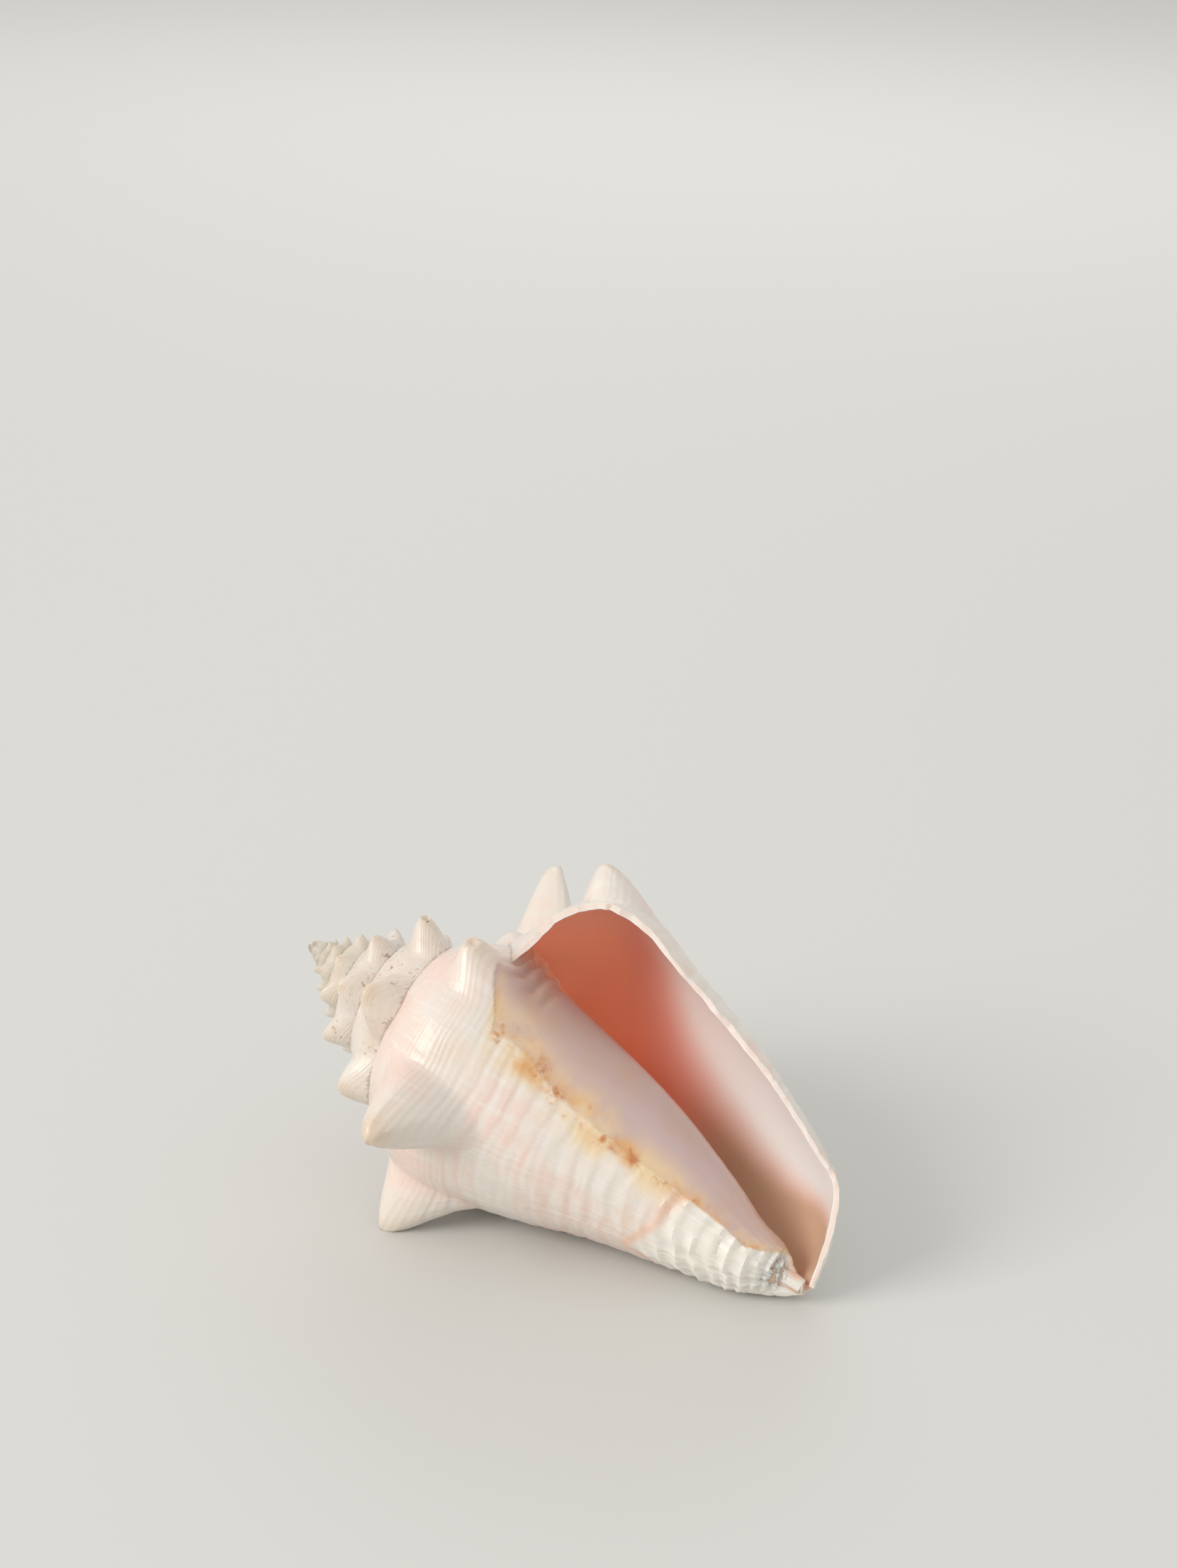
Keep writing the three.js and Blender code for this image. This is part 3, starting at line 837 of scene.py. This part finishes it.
def solid_object(name: str, points: np.ndarray, faces: list[tuple[int, ...]]) -> bpy.types.Object:
    """Makes a closed object whose faces point out.

    Args:
        name: Its name.
        points: Its places.
        faces: Its faces, either way round.

    Returns:
        The object, in the scene.
    """
    if signed_volume(points, faces) < 0.0:
        faces = [face[::-1] for face in faces]
    mesh = bpy.data.meshes.new(name)
    mesh.from_pydata(points.tolist(), [], faces)
    mesh.update()
    made = bpy.data.objects.new(name, mesh)
    bpy.context.scene.collection.objects.link(made)
    return made


def join(body: bpy.types.Object, piece: bpy.types.Object) -> None:
    """Unites a piece with a body.

    Args:
        body: The body, which grows.
        piece: The piece, which is used up.
    """
    union = body.modifiers.new("union", "BOOLEAN")
    union.operation = "UNION"
    union.solver = "MANIFOLD"
    union.object = piece
    bpy.context.view_layer.update()
    evaluated = body.evaluated_get(bpy.context.evaluated_depsgraph_get())
    joined = bpy.data.meshes.new_from_object(evaluated)
    body.modifiers.clear()
    old = body.data
    body.data = joined
    bpy.data.meshes.remove(old)
    bpy.data.objects.remove(piece)


# ---------------------------------------------------------------------------------------------- paint


@dataclass(frozen=True)
class Markings:
    """What each place of the skin carries for its finish: values from 0 to 1, and signed distances."""

    glaze: Glaze
    form: ShellForm
    # Where the inside of the lip turns pale: partly its own paler colour, partly painted light over the band
    # that the key light reaches.
    pale_along: tuple[float, ...] = (0.1, 0.25, 0.35, 0.5, 0.6, 0.7, 0.77, 0.82, 0.88, 0.95, 1.0)
    pale_whorl: tuple[float, ...] = (
        -0.01, -0.04, -0.1, -0.165, -0.185, -0.185, -0.17, -0.14, -0.08, -0.02, 0.0)
    # Where the chalky part of the canal begins.
    chalk_whorl: tuple[float, ...] = (-1.0, -0.9, -0.76, -0.65, -0.5, 0.0)
    chalk_along: tuple[float, ...] = (0.72, 0.75, 0.73, 0.69, 0.74, 0.86)
    seam_width: float = 0.012  # along the outline

    def values(self, whorl: np.ndarray, along: np.ndarray, inside: np.ndarray, reach: np.ndarray,
               drop: np.ndarray) -> dict[str, np.ndarray]:
        """Named values for each place.

        Args:
            whorl: Whorl counts.
            along: Places along the outline.
            inside: 1 on the hollow's side.
            reach: How far up a spine each place stands, 0 to 1.
            drop: Distance of each place from the apex along the axis, mm.

        Returns:
            One array for each name.
        """
        outside = 1.0 - inside
        past = self.glaze.past_edge(whorl, along)
        covered = self.covered(whorl, drop)
        glazed = smooth(-0.002, 0.006, past) * outside * smooth(0.34, 0.39, along) * covered
        buried = (1.0 - smooth(-1.14, -1.06, whorl)) * outside * covered
        past_pale = whorl - np.interp(along, self.pale_along, self.pale_whorl)
        pale = np.maximum(smooth(-0.05, 0.03, past_pale), smooth(-0.03, -0.012, whorl)) * inside
        deep = np.maximum(inside, buried)
        past_chalk = along - np.interp(whorl, self.chalk_whorl, self.chalk_along)
        return {
            "along": along,
            "glaze": glazed,
            "past_edge": np.clip(past, -0.2, 0.2) * outside - inside,
            "deep": deep,
            # Pink and pale bands of the inner lip: partly real colour, partly painted light where the lip is
            # lit.
            "lip_pink_and_lit": smooth(-0.15, 0.0, past_pale) * inside,
            "lip_pale_and_lit": pale,
            # Where the painted shade of the canal lies, low in the opening.
            "canal": smooth(0.5, 0.7, along) * deep * (1.0 - pale),
            "chalk": outside * (1.0 - glazed) * smooth(0.0, 0.05, past_chalk) * (1.0 - buried),
            "spire": outside * (1.0 - smooth(-1.4, -1.15, whorl)),
            "apex": outside * (1.0 - smooth(-4.4, -3.4, whorl)),
            "spine": reach * outside,
            "seam": outside * np.exp(-along / self.seam_width),
            "whorl": whorl,
        }

    def covered(self, whorl: np.ndarray, drop: np.ndarray) -> np.ndarray:
        """How surely a place lies below the seam of the whorl that winds over it.

        Args:
            whorl: Whorl counts.
            drop: Distance of each place from the apex along the axis, mm.

        Returns:
            1 below the seam, 0 on the open spire.
        """
        over = np.minimum(whorl + 1.0, 0.0)
        seam = self.form.outline(over, np.zeros_like(over))[1]
        return np.maximum(smooth(2.5, 6.0, drop - seam), smooth(-1.0, -0.96, whorl))


def dress_with_values(body: bpy.types.Object, markings: Markings, samples: list[SkinSamples]) -> None:
    """Stores the named values on the body's vertices, each taken from the nearest sample of the skin.

    Args:
        body: The joined body in the coiling frame, mm.
        markings: What each place carries.
        samples: The samples of its skin.
    """
    points = np.concatenate([sample.points for sample in samples])
    whorl = np.concatenate([sample.whorl for sample in samples])
    along = np.concatenate([sample.along for sample in samples])
    inside = np.concatenate([sample.inside for sample in samples])
    tree = KDTree(len(points))
    for index, point in enumerate(points.tolist()):
        tree.insert(point, index)
    tree.balance()
    mesh = body.data
    where = np.zeros(len(mesh.vertices) * 3)
    mesh.vertices.foreach_get("co", where)
    where = where.reshape(-1, 3)
    nearest = np.array([tree.find(point)[1] for point in where.tolist()])
    w, a, side = whorl[nearest], along[nearest], inside[nearest]
    reach = np.zeros(len(w))
    for spine in markings.form.spines:
        near = np.abs(w - spine.whorl) < spine.wide
        reach[near] = np.maximum(reach[near], markings.form.spine_reach(w[near], a[near], spine))
    for name, value in markings.values(w, a, side, reach, LENGTH - where[:, 2]).items():
        mesh.attributes.new(name, "FLOAT", "POINT").data.foreach_set("value", value.astype(np.float32))


# ---------------------------------------------------------------------------------------------- finishes


Colour = tuple[float, float, float, float]
PlaceGroup = Callable[..., bpy.types.NodeSocket]
BLACK: Colour = (0.0, 0.0, 0.0, 1.0)


def rgb(red: float, green: float, blue: float) -> Colour:
    """Colour for a shader from the 0..255 values seen on a screen."""
    linear = [((channel / 255.0 + 0.055) / 1.055) ** 2.4 for channel in (red, green, blue)]
    return (linear[0], linear[1], linear[2], 1.0)


class Weaver:
    """Places and links shader nodes in one tree."""

    def __init__(self, tree: bpy.types.NodeTree) -> None:
        """Keeps the tree that the nodes go into."""
        self.tree = tree

    def put(self, kind: str, inputs: dict[str | int, object] | None = None,
            **settings: object) -> bpy.types.Node:
        """Places a node.

        Args:
            kind: The node's type.
            inputs: Values or sockets for its inputs, by name or number.
            settings: Its other settings.

        Returns:
            The node.
        """
        node = self.tree.nodes.new(kind)
        for name, value in settings.items():
            setattr(node, name, value)
        for key, value in (inputs or {}).items():
            if isinstance(value, bpy.types.NodeSocket):
                self.tree.links.new(value, node.inputs[key])
            else:
                node.inputs[key].default_value = value
        return node

    def value_of(self, name: str) -> bpy.types.NodeSocket:
        """A named value stored on the mesh."""
        return self.put("ShaderNodeAttribute", attribute_name=name).outputs["Fac"]

    def place(self) -> bpy.types.NodeSocket:
        """The place in the object's own frame."""
        return self.put("ShaderNodeTexCoord").outputs["Object"]

    def grain(self, scale: object, detail: float = 3.0, where: bpy.types.NodeSocket | None = None,
              rough: float = 0.5) -> bpy.types.NodeSocket:
        """Noise from 0 to 1.

        Args:
            scale: Cells per metre, or per unit of other coordinates.
            detail: How many finer layers it has.
            where: Other coordinates than the place.
            rough: How strong the finer layers are.

        Returns:
            The noise.
        """
        inputs = {"Vector": where or self.place(), "Scale": scale, "Detail": detail, "Roughness": rough}
        return self.put("ShaderNodeTexNoise", inputs).outputs["Fac"]

    def ramp(self, value: bpy.types.NodeSocket, low: object, high: object, start: float = 0.0,
             end: float = 1.0) -> bpy.types.NodeSocket:
        """Soft step of a value between two levels.

        Args:
            value: The value.
            low: Level where the step starts.
            high: Level where it ends.
            start: Result below the step.
            end: Result above it.

        Returns:
            The stepped value.
        """
        inputs = {"Value": value, "From Min": low, "From Max": high, "To Min": start, "To Max": end}
        return self.put("ShaderNodeMapRange", inputs, interpolation_type="SMOOTHSTEP").outputs["Result"]

    def work_out(self, kind: str, first: object, second: object) -> bpy.types.NodeSocket:
        """One arithmetic step."""
        return self.put("ShaderNodeMath", {0: first, 1: second}, operation=kind).outputs[0]

    def times(self, first: object, *others: object) -> bpy.types.NodeSocket:
        """Product of values.

        Args:
            first: A value or a number.
            others: More of them.

        Returns:
            The product.
        """
        for other in others:
            first = self.work_out("MULTIPLY", first, other)
        return first

    def hump(self, value: bpy.types.NodeSocket, rise: tuple[float, float],
             fall: tuple[float, float]) -> bpy.types.NodeSocket:
        """1 between a rise and a fall of a value, 0 beyond them."""
        return self.times(self.ramp(value, *rise), self.ramp(value, *fall, 1.0, 0.0))

    def mix(self, share: object, first: object, second: object) -> bpy.types.NodeSocket:
        """Mix of two colours.

        Args:
            share: How much of the second, 0 to 1.
            first: A colour or a socket.
            second: A colour or a socket.

        Returns:
            The mixed colour.
        """
        inputs = {"Factor": share, 6: first, 7: second}
        return self.put("ShaderNodeMix", inputs, data_type="RGBA", blend_type="MIX").outputs[2]


class SkinGroups:
    """Effects of the skin as node groups: masks, colours and heights that change over the surface."""

    @staticmethod
    def start(name: str, inputs: dict[str, float],
              output: str) -> tuple[Weaver, bpy.types.Node, bpy.types.Node]:
        """Begins a group.

        Args:
            name: The group's name.
            inputs: Its inputs with their usual values.
            output: The name of its one output, a value.

        Returns:
            A weaver for its tree, its input node and its output node.
        """
        tree = bpy.data.node_groups.new(name, "ShaderNodeTree")
        for key, value in inputs.items():
            socket = tree.interface.new_socket(key, in_out="INPUT", socket_type="NodeSocketFloat")
            socket.default_value = value
        tree.interface.new_socket(output, in_out="OUTPUT", socket_type="NodeSocketFloat")
        return Weaver(tree), tree.nodes.new("NodeGroupInput"), tree.nodes.new("NodeGroupOutput")

    @staticmethod
    def cords() -> bpy.types.NodeTree:
        """Bands that wind with the growth.

        Returns:
            A group that tells how raised each place is, from 0 to 1.
        """
        w, given, made = SkinGroups.start("winding_cords", {"Count": 30.0, "Wander": 1.0}, "Raised")
        whorl, along = w.value_of("whorl"), w.value_of("along")
        flow = w.put("ShaderNodeCombineXYZ", {"X": w.times(whorl, 9.0), "Y": w.times(along, 9.0)}).outputs[0]
        wander = w.times(w.work_out("SUBTRACT", w.grain(1.0, 2.0, flow), 0.5), given.outputs["Wander"])
        turns = w.work_out("ADD", w.times(along, given.outputs["Count"]), wander)
        wave = w.work_out("COSINE", w.times(turns, 2.0 * math.pi), 0.0)
        w.tree.links.new(w.ramp(wave, -1.0, 1.0), made.inputs["Raised"])
        return w.tree

    @staticmethod
    def growth_lines() -> bpy.types.NodeTree:
        """Lines left by each stop of the growth.

        Returns:
            A group that tells how strong each place is, from 0 to 1.
        """
        w, given, made = SkinGroups.start("growth_lines", {"Fineness": 160.0, "Bend": 1.5}, "Strength")
        whorl, along = w.value_of("whorl"), w.value_of("along")
        bent = w.work_out("ADD", whorl, w.times(along, 0.02, given.outputs["Bend"]))
        across = w.times(bent, given.outputs["Fineness"])
        flow = w.put("ShaderNodeCombineXYZ", {"X": across, "Y": w.times(along, 7.0)}).outputs[0]
        w.tree.links.new(w.grain(1.0, 3.0, flow), made.inputs["Strength"])
        return w.tree

    @staticmethod
    def blotches() -> bpy.types.NodeTree:
        """Irregular patches with soft edges.

        Returns:
            A group that gives a mask from 0 to 1.
        """
        w, given, made = SkinGroups.start("blotches", {"Scale": 60.0, "Start": 0.45, "End": 0.65}, "Mask")
        grain = w.grain(given.outputs["Scale"], 4.0, None, 0.6)
        w.tree.links.new(w.ramp(grain, given.outputs["Start"], given.outputs["End"]), made.inputs["Mask"])
        return w.tree


@dataclass(frozen=True)
class ShellFinish:
    """The shell's finish: cream and peach outside, glossy lilac glaze, coral in the opening, with painted
    light on the inner lip, painted shade in the canal and a painted glow deep inside.
    """

    cream: Colour = rgb(229, 220, 210)
    pale: Colour = rgb(237, 230, 222)
    spire_beige: Colour = rgb(212, 192, 166)
    spine_pale: Colour = rgb(226, 216, 202)
    # Brown of the spines' tips: partly stain, partly painted shade.
    spine_tip_stain_and_shade: Colour = rgb(206, 176, 140)
    peach: Colour = rgb(236, 209, 196)
    honey: Colour = rgb(226, 196, 158)
    glaze: Colour = rgb(204, 180, 176)
    glaze_warm: Colour = rgb(208, 174, 156)
    border: Colour = rgb(222, 172, 116)
    border_dark: Colour = rgb(200, 132, 78)
    coral: Colour = rgb(255, 168, 128)
    inner_top: Colour = rgb(255, 204, 172)
    # Painted glow: stands for light shining through the wall deep in the opening.
    painted_glow_colour: Colour = rgb(255, 124, 84)
    # Pink and white of the inner lip: partly its own paler colour, partly painted light on the lit band.
    pink: Colour = rgb(250, 196, 182)
    lip_white_and_painted_light: Colour = rgb(246, 243, 240)
    halo: Colour = rgb(236, 208, 158)
    # Painted shade: tan that stands for the shadow low inside the canal.
    canal_painted_shade: Colour = rgb(214, 182, 154)
    chalk: Colour = rgb(237, 231, 221)
    chalk_line: Colour = rgb(240, 172, 124)
    speck: Colour = rgb(150, 78, 46)
    suture: Colour = rgb(120, 92, 68)
    apex: Colour = rgb(232, 232, 220)

    def outside(self, w: Weaver, place: PlaceGroup, growth: bpy.types.NodeSocket) -> bpy.types.NodeSocket:
        """The bare shell: cream with peach patches, pale bands, paler spines whose brown tips are partly
        stain and partly painted shade, and a specked spire.

        Args:
            w: Weaver of the material's tree.
            place: Places a group with its own values.
            growth: Strength of the fine growth lines.

        Returns:
            Its colour.
        """
        along, spire, spine = w.value_of("along"), w.value_of("spire"), w.value_of("spine")
        blush = place("blotches", Scale=42.0, Start=0.42, End=0.66)
        blush = w.times(blush, w.ramp(spire, 0.0, 1.0, 0.8, 0.25))
        colour = w.mix(blush, self.cream, self.peach)
        colour = w.mix(w.times(place("blotches", Scale=30.0, Start=0.56, End=0.72), 0.35), colour, self.honey)
        rests = w.ramp(place("growth_lines", Fineness=34.0), 0.3, 0.6, 0.25, 0.7)
        banded = w.times(place("winding_cords", Count=30.0, Wander=1.4), w.ramp(along, 0.36, 0.48), rests)
        colour = w.mix(banded, colour, self.pale)
        colour = w.mix(w.ramp(growth, 0.52, 0.72, 0.0, 0.5), colour, self.pale)
        fine = place("blotches", Scale=800.0, Start=0.58, End=0.65)
        specks = w.times(fine, place("blotches", Scale=110.0, Start=0.45, End=0.6), spire, 0.8)
        colour = w.mix(specks, colour, self.speck)
        colour = w.mix(w.times(w.value_of("apex"), 0.8), colour, self.apex)
        worn = w.times(spire, place("blotches", Scale=60.0, Start=0.38, End=0.62), 0.4)
        colour = w.mix(worn, colour, self.spire_beige)
        colour = w.mix(w.ramp(spine, 0.4, 0.85, 0.0, 0.8), colour, self.spine_pale)
        # Brown on the spines' tips: partly stain, partly painted shade on spines that face away from the
        # light.
        tip = w.times(w.ramp(spine, 0.7, 1.0), place("blotches", Scale=90.0, Start=0.34, End=0.56), 0.45)
        colour = w.mix(tip, colour, self.spine_tip_stain_and_shade)
        seam = w.times(w.value_of("seam"), place("blotches", Scale=160.0, Start=0.35, End=0.6), 0.7)
        return w.mix(seam, colour, self.suture)

    def glazed(self, w: Weaver, place: PlaceGroup, colour: bpy.types.NodeSocket) -> bpy.types.NodeSocket:
        """Lays the glaze over a colour, with its brown and orange border, and then the chalky canal.

        Args:
            w: Weaver of the material's tree.
            place: Places a group with its own values.
            colour: The colour of the bare shell.

        Returns:
            The colour of the whole outside.
        """
        glaze = w.mix(place("blotches", Scale=34.0, Start=0.4, End=0.66), self.glaze, self.glaze_warm)
        colour = w.mix(w.times(w.value_of("glaze"), 0.96), colour, glaze)
        stray = w.times(w.work_out("SUBTRACT", w.grain(60.0, 4.0), 0.5), 0.035)
        past = w.work_out("ADD", w.value_of("past_edge"), stray)
        below = w.ramp(w.value_of("along"), 0.375, 0.395)
        halo = w.times(w.hump(past, (-0.075, -0.015), (0.0, 0.08)), below)
        halo = w.times(halo, place("blotches", Scale=52.0, Start=0.36, End=0.6), 0.8)
        colour = w.mix(halo, colour, self.halo)
        band = w.times(w.hump(past, (-0.036, -0.008), (0.004, 0.042)), below)
        border = w.times(band, place("blotches", Scale=75.0, Start=0.42, End=0.62))
        colour = w.mix(border, colour, self.border)
        dark = w.times(band, band, place("blotches", Scale=170.0, Start=0.5, End=0.64))
        colour = w.mix(dark, colour, self.border_dark)
        chalk = w.value_of("chalk")
        colour = w.mix(chalk, colour, self.chalk)
        line = w.hump(chalk, (0.1, 0.45), (0.45, 0.9))
        line = w.times(line, place("blotches", Scale=40.0, Start=0.36, End=0.6), 0.42)
        return w.mix(line, colour, self.chalk_line)

    def within(self, w: Weaver) -> bpy.types.NodeSocket:
        """The opening: coral deep inside; pink and white towards the lip, partly its own colour and partly
        painted light; tan painted shade in the canal.

        Args:
            w: Weaver of the material's tree.

        Returns:
            Its colour.
        """
        colour = w.mix(w.ramp(w.value_of("along"), 0.36, 0.52), self.inner_top, self.coral)
        # Partly painted light: pink and white over the lit part of the inner lip.
        colour = w.mix(w.value_of("lip_pink_and_lit"), colour, self.pink)
        # Painted shade low in the canal, as tan.
        colour = w.mix(w.value_of("canal"), colour, self.canal_painted_shade)
        return w.mix(w.value_of("lip_pale_and_lit"), colour, self.lip_white_and_painted_light)

    def material(self) -> bpy.types.Material:
        """Builds the material.

        Returns:
            The finished material.
        """
        made = bpy.data.materials.new("shell_skin")
        made.use_nodes = True
        tree = made.node_tree
        tree.nodes.clear()
        w = Weaver(tree)
        made_groups = (SkinGroups.cords(), SkinGroups.growth_lines(), SkinGroups.blotches())
        groups = {group.name: group for group in made_groups}

        def place(name: str, **values: float) -> bpy.types.NodeSocket:
            """The output of a group placed with its own values."""
            return w.put("ShaderNodeGroup", values, node_tree=groups[name]).outputs[0]

        growth, deep, chalk = place("growth_lines", Fineness=150.0), w.value_of("deep"), w.value_of("chalk")
        colour = w.mix(deep, self.glazed(w, place, self.outside(w, place, growth)), self.within(w))
        gloss = w.work_out("MAXIMUM", w.value_of("glaze"), deep)
        rough = w.ramp(w.work_out("ADD", gloss, w.times(w.grain(300.0), 0.1)), 0.0, 1.0, 0.31, 0.26)
        height = w.work_out("ADD", w.times(w.grain(2600.0, 3.0), 0.2), w.times(growth, 0.9))
        height = w.work_out("ADD", height, w.times(place("winding_cords", Count=62.0, Wander=3.0), 0.24))
        height = w.times(height, w.ramp(gloss, 0.0, 0.9, 1.0, 0.06))
        bump = w.put("ShaderNodeBump", {"Strength": 0.8, "Distance": 0.0003, "Height": height})
        # Painted glow: a faint emission deep in the opening stands for light shining through the thin wall,
        # weaker on the lit lip and in the canal.
        through = w.times(deep, w.ramp(w.value_of("lip_pink_and_lit"), 0.1, 0.8, 1.0, 0.0))
        through = w.times(through, w.ramp(w.value_of("canal"), 0.1, 0.9, 1.0, 0.2))
        shader = w.put("ShaderNodeBsdfPrincipled", {
            "Base Color": colour,
            "Roughness": w.work_out("MAXIMUM", rough, w.times(chalk, 0.75)),
            "Normal": bump.outputs[0],
            "IOR": 1.5,
            "Coat Weight": w.ramp(gloss, 0.0, 1.0, 0.25, 0.4),
            "Coat Roughness": 0.09,
            "Subsurface Weight": 0.5,
            "Subsurface Radius": (1.0, 0.72, 0.6),
            "Subsurface Scale": 0.003,
            # Painted glow deep in the opening.
            "Emission Color": w.mix(through, BLACK, self.painted_glow_colour),
            "Emission Strength": 0.058,
        })
        out = w.put("ShaderNodeOutputMaterial")
        tree.links.new(shader.outputs[0], out.inputs[0])
        return made


# ---------------------------------------------------------------------------------------------- setting


@dataclass(frozen=True)
class ViewPoint:
    """The camera, in mm in the part's frame."""

    place: tuple[float, float, float] = (294.14, -528.72, 383.76)
    forward: tuple[float, float, float] = (-0.4458, 0.8080, -0.3853)
    up: tuple[float, float, float] = (-0.2132, 0.3222, 0.9224)
    lens: float = 58.59
    sensor: float = 36.0

    def build(self) -> None:
        """Creates the camera and makes it the scene's."""
        data = bpy.data.cameras.new("camera")
        data.lens, data.sensor_fit, data.sensor_height = self.lens, "VERTICAL", self.sensor
        data.clip_start, data.clip_end = 0.01, 50.0
        back = -Vector(self.forward).normalized()
        right = Vector(self.up).cross(back).normalized()
        turn = Matrix((right, back.cross(right), back)).transposed().to_4x4()
        camera = bpy.data.objects.new("camera", data)
        camera.matrix_world = Matrix.Translation(Vector(self.place) * MM) @ turn
        bpy.context.scene.collection.objects.link(camera)
        bpy.context.scene.camera = camera


@dataclass(frozen=True)
class Studio:
    """A plain pale table, a large soft window, a weak far one and a pale room; sizes in metres."""

    table: Colour = rgb(211, 210, 206)
    table_roughness: float = 0.55
    floor_size: float = 8.0
    key_from: tuple[float, float, float] = (-0.382, -0.735, 0.57)
    key_distance: float = 3.0
    key_size: float = 1.4
    key_watts: float = 46.5
    key_colour: tuple[float, float, float] = (1.0, 0.985, 0.96)
    far_place: tuple[float, float, float] = (-0.9, 1.9, 1.3)
    far_size: tuple[float, float] = (2.0, 1.2)
    far_watts: float = 9.0
    room: float = 0.74
    room_colour: Colour = (1.0, 0.995, 0.98, 1.0)

    def floor(self) -> bpy.types.Object:
        """The table.

        Returns:
            A flat square at the height of the shell's feet.
        """
        half = self.floor_size / 2.0
        corners = [(-half, -half, 0), (half, -half, 0), (half, half, 0), (-half, half, 0)]
        mesh = bpy.data.meshes.new("table")
        mesh.from_pydata(corners, [], [(0, 1, 2, 3)])
        made = bpy.data.objects.new("table", mesh)
        bpy.context.scene.collection.objects.link(made)
        finish = bpy.data.materials.new("table_paper")
        finish.use_nodes = True
        shader = finish.node_tree.nodes["Principled BSDF"]
        shader.inputs["Base Color"].default_value = self.table
        shader.inputs["Roughness"].default_value = self.table_roughness
        mesh.materials.append(finish)
        return made

    def lamp(self, name: str, size: tuple[float, float], watts: float) -> bpy.types.Object:
        """A soft rectangular light at the origin, shining down.

        Args:
            name: Its name.
            size: Its sides, m.
            watts: Its power.

        Returns:
            The light.
        """
        light = bpy.data.lights.new(name, "AREA")
        light.shape, light.energy = "RECTANGLE", watts
        light.size, light.size_y = size
        made = bpy.data.objects.new(name, light)
        bpy.context.scene.collection.objects.link(made)
        return made

    def lights(self) -> None:
        """The two windows and the room's own light."""
        window = self.lamp("window", (self.key_size, self.key_size), self.key_watts)
        window.data.color = self.key_colour
        towards = Vector(self.key_from).normalized()
        window.location = towards * self.key_distance
        window.rotation_euler = towards.to_track_quat("Z", "Y").to_euler()
        self.lamp("far_window", self.far_size, self.far_watts).location = self.far_place
        world = bpy.data.worlds.new("room")
        world.use_nodes = True
        background = world.node_tree.nodes["Background"]
        background.inputs["Color"].default_value = self.room_colour
        background.inputs["Strength"].default_value = self.room
        bpy.context.scene.world = world
        bpy.context.scene.view_settings.view_transform = "Standard"


# ---------------------------------------------------------------------------------------------- the piece


@dataclass
class ConchShell:
    """The whole shell as one piece."""

    form: ShellForm
    relief: Relief
    glaze: Glaze
    finish: ShellFinish
    crease: float = 42.0  # degrees beyond which an edge shows as a crease
    weld: float = 0.03  # mm
    sliver: float = 0.005  # mm

    def build(self) -> bpy.types.Object:
        """Builds, dresses and places the shell.

        Returns:
            The finished piece, in metres in the part's frame.
        """
        body, samples = ShellBody(self.form, self.relief, self.glaze).build()
        shell = bpy.data.objects.new("shell_skin", self.cleaned(body))
        bpy.context.scene.collection.objects.link(shell)
        bpy.data.objects.remove(body)
        dress_with_values(shell, Markings(self.glaze, self.form), samples)
        tilt = Matrix.Rotation(math.radians(RESTING_TILT), 4, "Y")
        spin = Matrix.Rotation(math.radians(RESTING_SPIN), 4, "Z")
        shift = Matrix.Translation(Vector(RESTING_SHIFT) * MM)
        shell.data.transform(shift @ tilt @ spin @ Matrix.Scale(MM, 4))
        self.wear_feet(shell.data)
        shell.data.shade_smooth()
        shell.data.set_sharp_from_angle(angle=math.radians(self.crease))
        shell.data.materials.append(self.finish.material())
        LOG.info("shell_skin: %d faces", len(shell.data.polygons))
        return shell

    def cleaned(self, body: bpy.types.Object) -> bpy.types.Mesh:
        """Welds corners that almost touch and drops stray specks.

        Args:
            body: The joined body.

        Returns:
            The cleaned mesh.
        """
        work = bmesh.new()
        work.from_mesh(body.data)
        bmesh.ops.remove_doubles(work, verts=work.verts, dist=self.weld)
        bmesh.ops.dissolve_degenerate(work, edges=work.edges, dist=self.sliver)
        keep_largest(work)
        mesh = bpy.data.meshes.new("shell_skin")
        work.to_mesh(mesh)
        work.free()
        return mesh

    def wear_feet(self, mesh: bpy.types.Mesh) -> None:
        """Flattens the points it stands on.

        Args:
            mesh: The mesh in its resting place.
        """
        where = np.zeros(len(mesh.vertices) * 3)
        mesh.vertices.foreach_get("co", where)
        where = where.reshape(-1, 3)
        where[:, 2] = np.maximum(where[:, 2], 0.0)
        mesh.vertices.foreach_set("co", where.ravel())
        mesh.update()


def keep_largest(work: bmesh.types.BMesh) -> None:
    """Drops everything but the largest connected body.

    Args:
        work: The mesh, which is changed.
    """
    seen: set[bmesh.types.BMVert] = set()
    bodies: list[list[bmesh.types.BMVert]] = []
    for vert in work.verts:
        if vert in seen:
            continue
        seen.add(vert)
        group, edge = [vert], [vert]
        while edge:
            current = edge.pop()
            for link in current.link_edges:
                other = link.other_vert(current)
                if other not in seen:
                    seen.add(other)
                    group.append(other)
                    edge.append(other)
        bodies.append(group)
    bodies.sort(key=len)
    for group in bodies[:-1]:
        bmesh.ops.delete(work, geom=group, context="VERTS")


def main() -> None:
    """Builds the scene in order."""
    logging.basicConfig(level=logging.INFO, format="%(name)s %(message)s")
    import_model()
    ViewPoint().build()
    studio = Studio()
    studio.lights()
    studio.floor()
    shell = ConchShell(ShellForm(), Relief(), Glaze(), ShellFinish()).build()
    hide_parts("conch_shell")
    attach(shell, "root")


if __name__ == "__main__":
    main()
